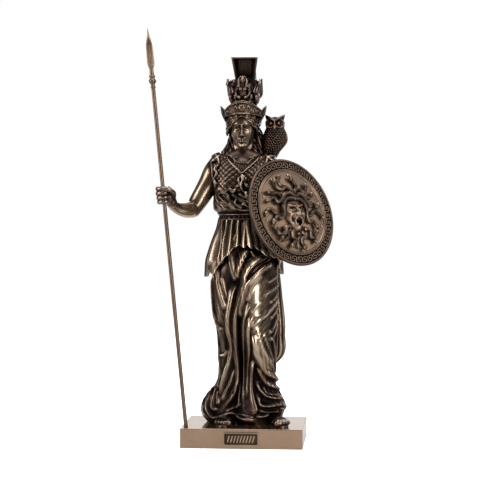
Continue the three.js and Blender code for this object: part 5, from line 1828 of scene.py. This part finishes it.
def makeFloor():
    bm = bmesh.new()
    bmesh.ops.create_grid(bm, x_segments=2, y_segments=2, size=studio["floorHalf"])
    mesh = bpy.data.meshes.new("studio_floor")
    bm.to_mesh(mesh)
    bm.free()
    floor = bpy.data.objects.new("studio_floor", mesh)
    bpy.context.scene.collection.objects.link(floor)
    paper = bpy.data.materials.new("white studio paper")
    paper.use_nodes = True
    shader = paper.node_tree.nodes["Principled BSDF"]
    shader.inputs["Roughness"].default_value = 0.7
    shader.inputs["Emission Color"].default_value = linear("#FFFFFF")
    seen = addNode(paper.node_tree, "ShaderNodeLightPath").outputs["Is Camera Ray"]
    glow = addNode(paper.node_tree, "ShaderNodeMath", {"operation": "MULTIPLY_ADD"},
                   {0: seen, 1: studio["glowMore"], 2: studio["glowMirrored"]})
    white = addNode(paper.node_tree, "ShaderNodeValToRGB", {}, {"Fac": seen},
                    [(0, studio["paperMirrored"]), (1, studio["paperSeen"])])
    paper.node_tree.links.new(glow.outputs[0], shader.inputs["Emission Strength"])
    paper.node_tree.links.new(white.outputs[0], shader.inputs["Base Color"])
    floor.data.materials.append(paper)


def areaLight(name, place, aim, width, height, power):
    data = bpy.data.lights.new(name, "AREA")
    data.shape = "RECTANGLE"
    data.size, data.size_y, data.energy = width, height, power
    lamp = bpy.data.objects.new(name, data)
    lamp.location = place
    lamp.rotation_euler = (Vector(aim) - Vector(place)).to_track_quat("-Z", "Y").to_euler()
    bpy.context.scene.collection.objects.link(lamp)


makeFloor()
middle = (0, 0, 0.17)
# name, place, aim, width, height and power in watts
areaLight("left softbox", (-0.9, -0.45, 0.5), middle, 0.5, 0.9, 9)
areaLight("right softbox", (0.6, -0.84, 0.45), middle, 0.3, 0.9, 7.4)
areaLight("right card", (0.95, 0, 0.6), middle, 0.6, 0.7, 3)
areaLight("top softbox", (0, -0.2, 1.1), middle, 0.9, 0.6, 8)
areaLight("back light", (0.2, 0.9, 0.7), middle, 0.8, 0.6, 6)
areaLight("white card behind", (0, 1.5, 0.24), (0, 0, 0.1), 2.4, 0.26, 1.85)

world = bpy.data.worlds.new("studio")
bpy.context.scene.world = world
world.use_nodes = True
tree = world.node_tree
room = tree.nodes["Background"]
seen = addNode(tree, "ShaderNodeLightPath").outputs["Is Camera Ray"]
white = addNode(tree, "ShaderNodeValToRGB", {}, {"Fac": seen},
                [(0, studio["roomMirrored"]), (1, studio["roomSeen"])])
tree.links.new(white.outputs[0], room.inputs["Color"])
bpy.context.scene.view_settings.view_transform = "Standard"

view = {"target": (-0.0043, 0, 0.1753), "azimuth": 4.75, "elevation": 1.58, "distance": 1.428, "lens": 123.75}
azimuth, elevation = radians(view["azimuth"]), radians(view["elevation"])
back = Vector((sin(azimuth) * cos(elevation), -cos(azimuth) * cos(elevation), sin(elevation)))
cameraData = bpy.data.cameras.new("camera")
cameraData.lens, cameraData.sensor_width = view["lens"], 36
cameraData.clip_start = 0.05
camera = bpy.data.objects.new("camera", cameraData)
camera.location = Vector(view["target"]) + back * view["distance"]
camera.rotation_euler = (-back).to_track_quat("-Z", "Y").to_euler()
bpy.context.scene.collection.objects.link(camera)
bpy.context.scene.camera = camera

print("scene done")
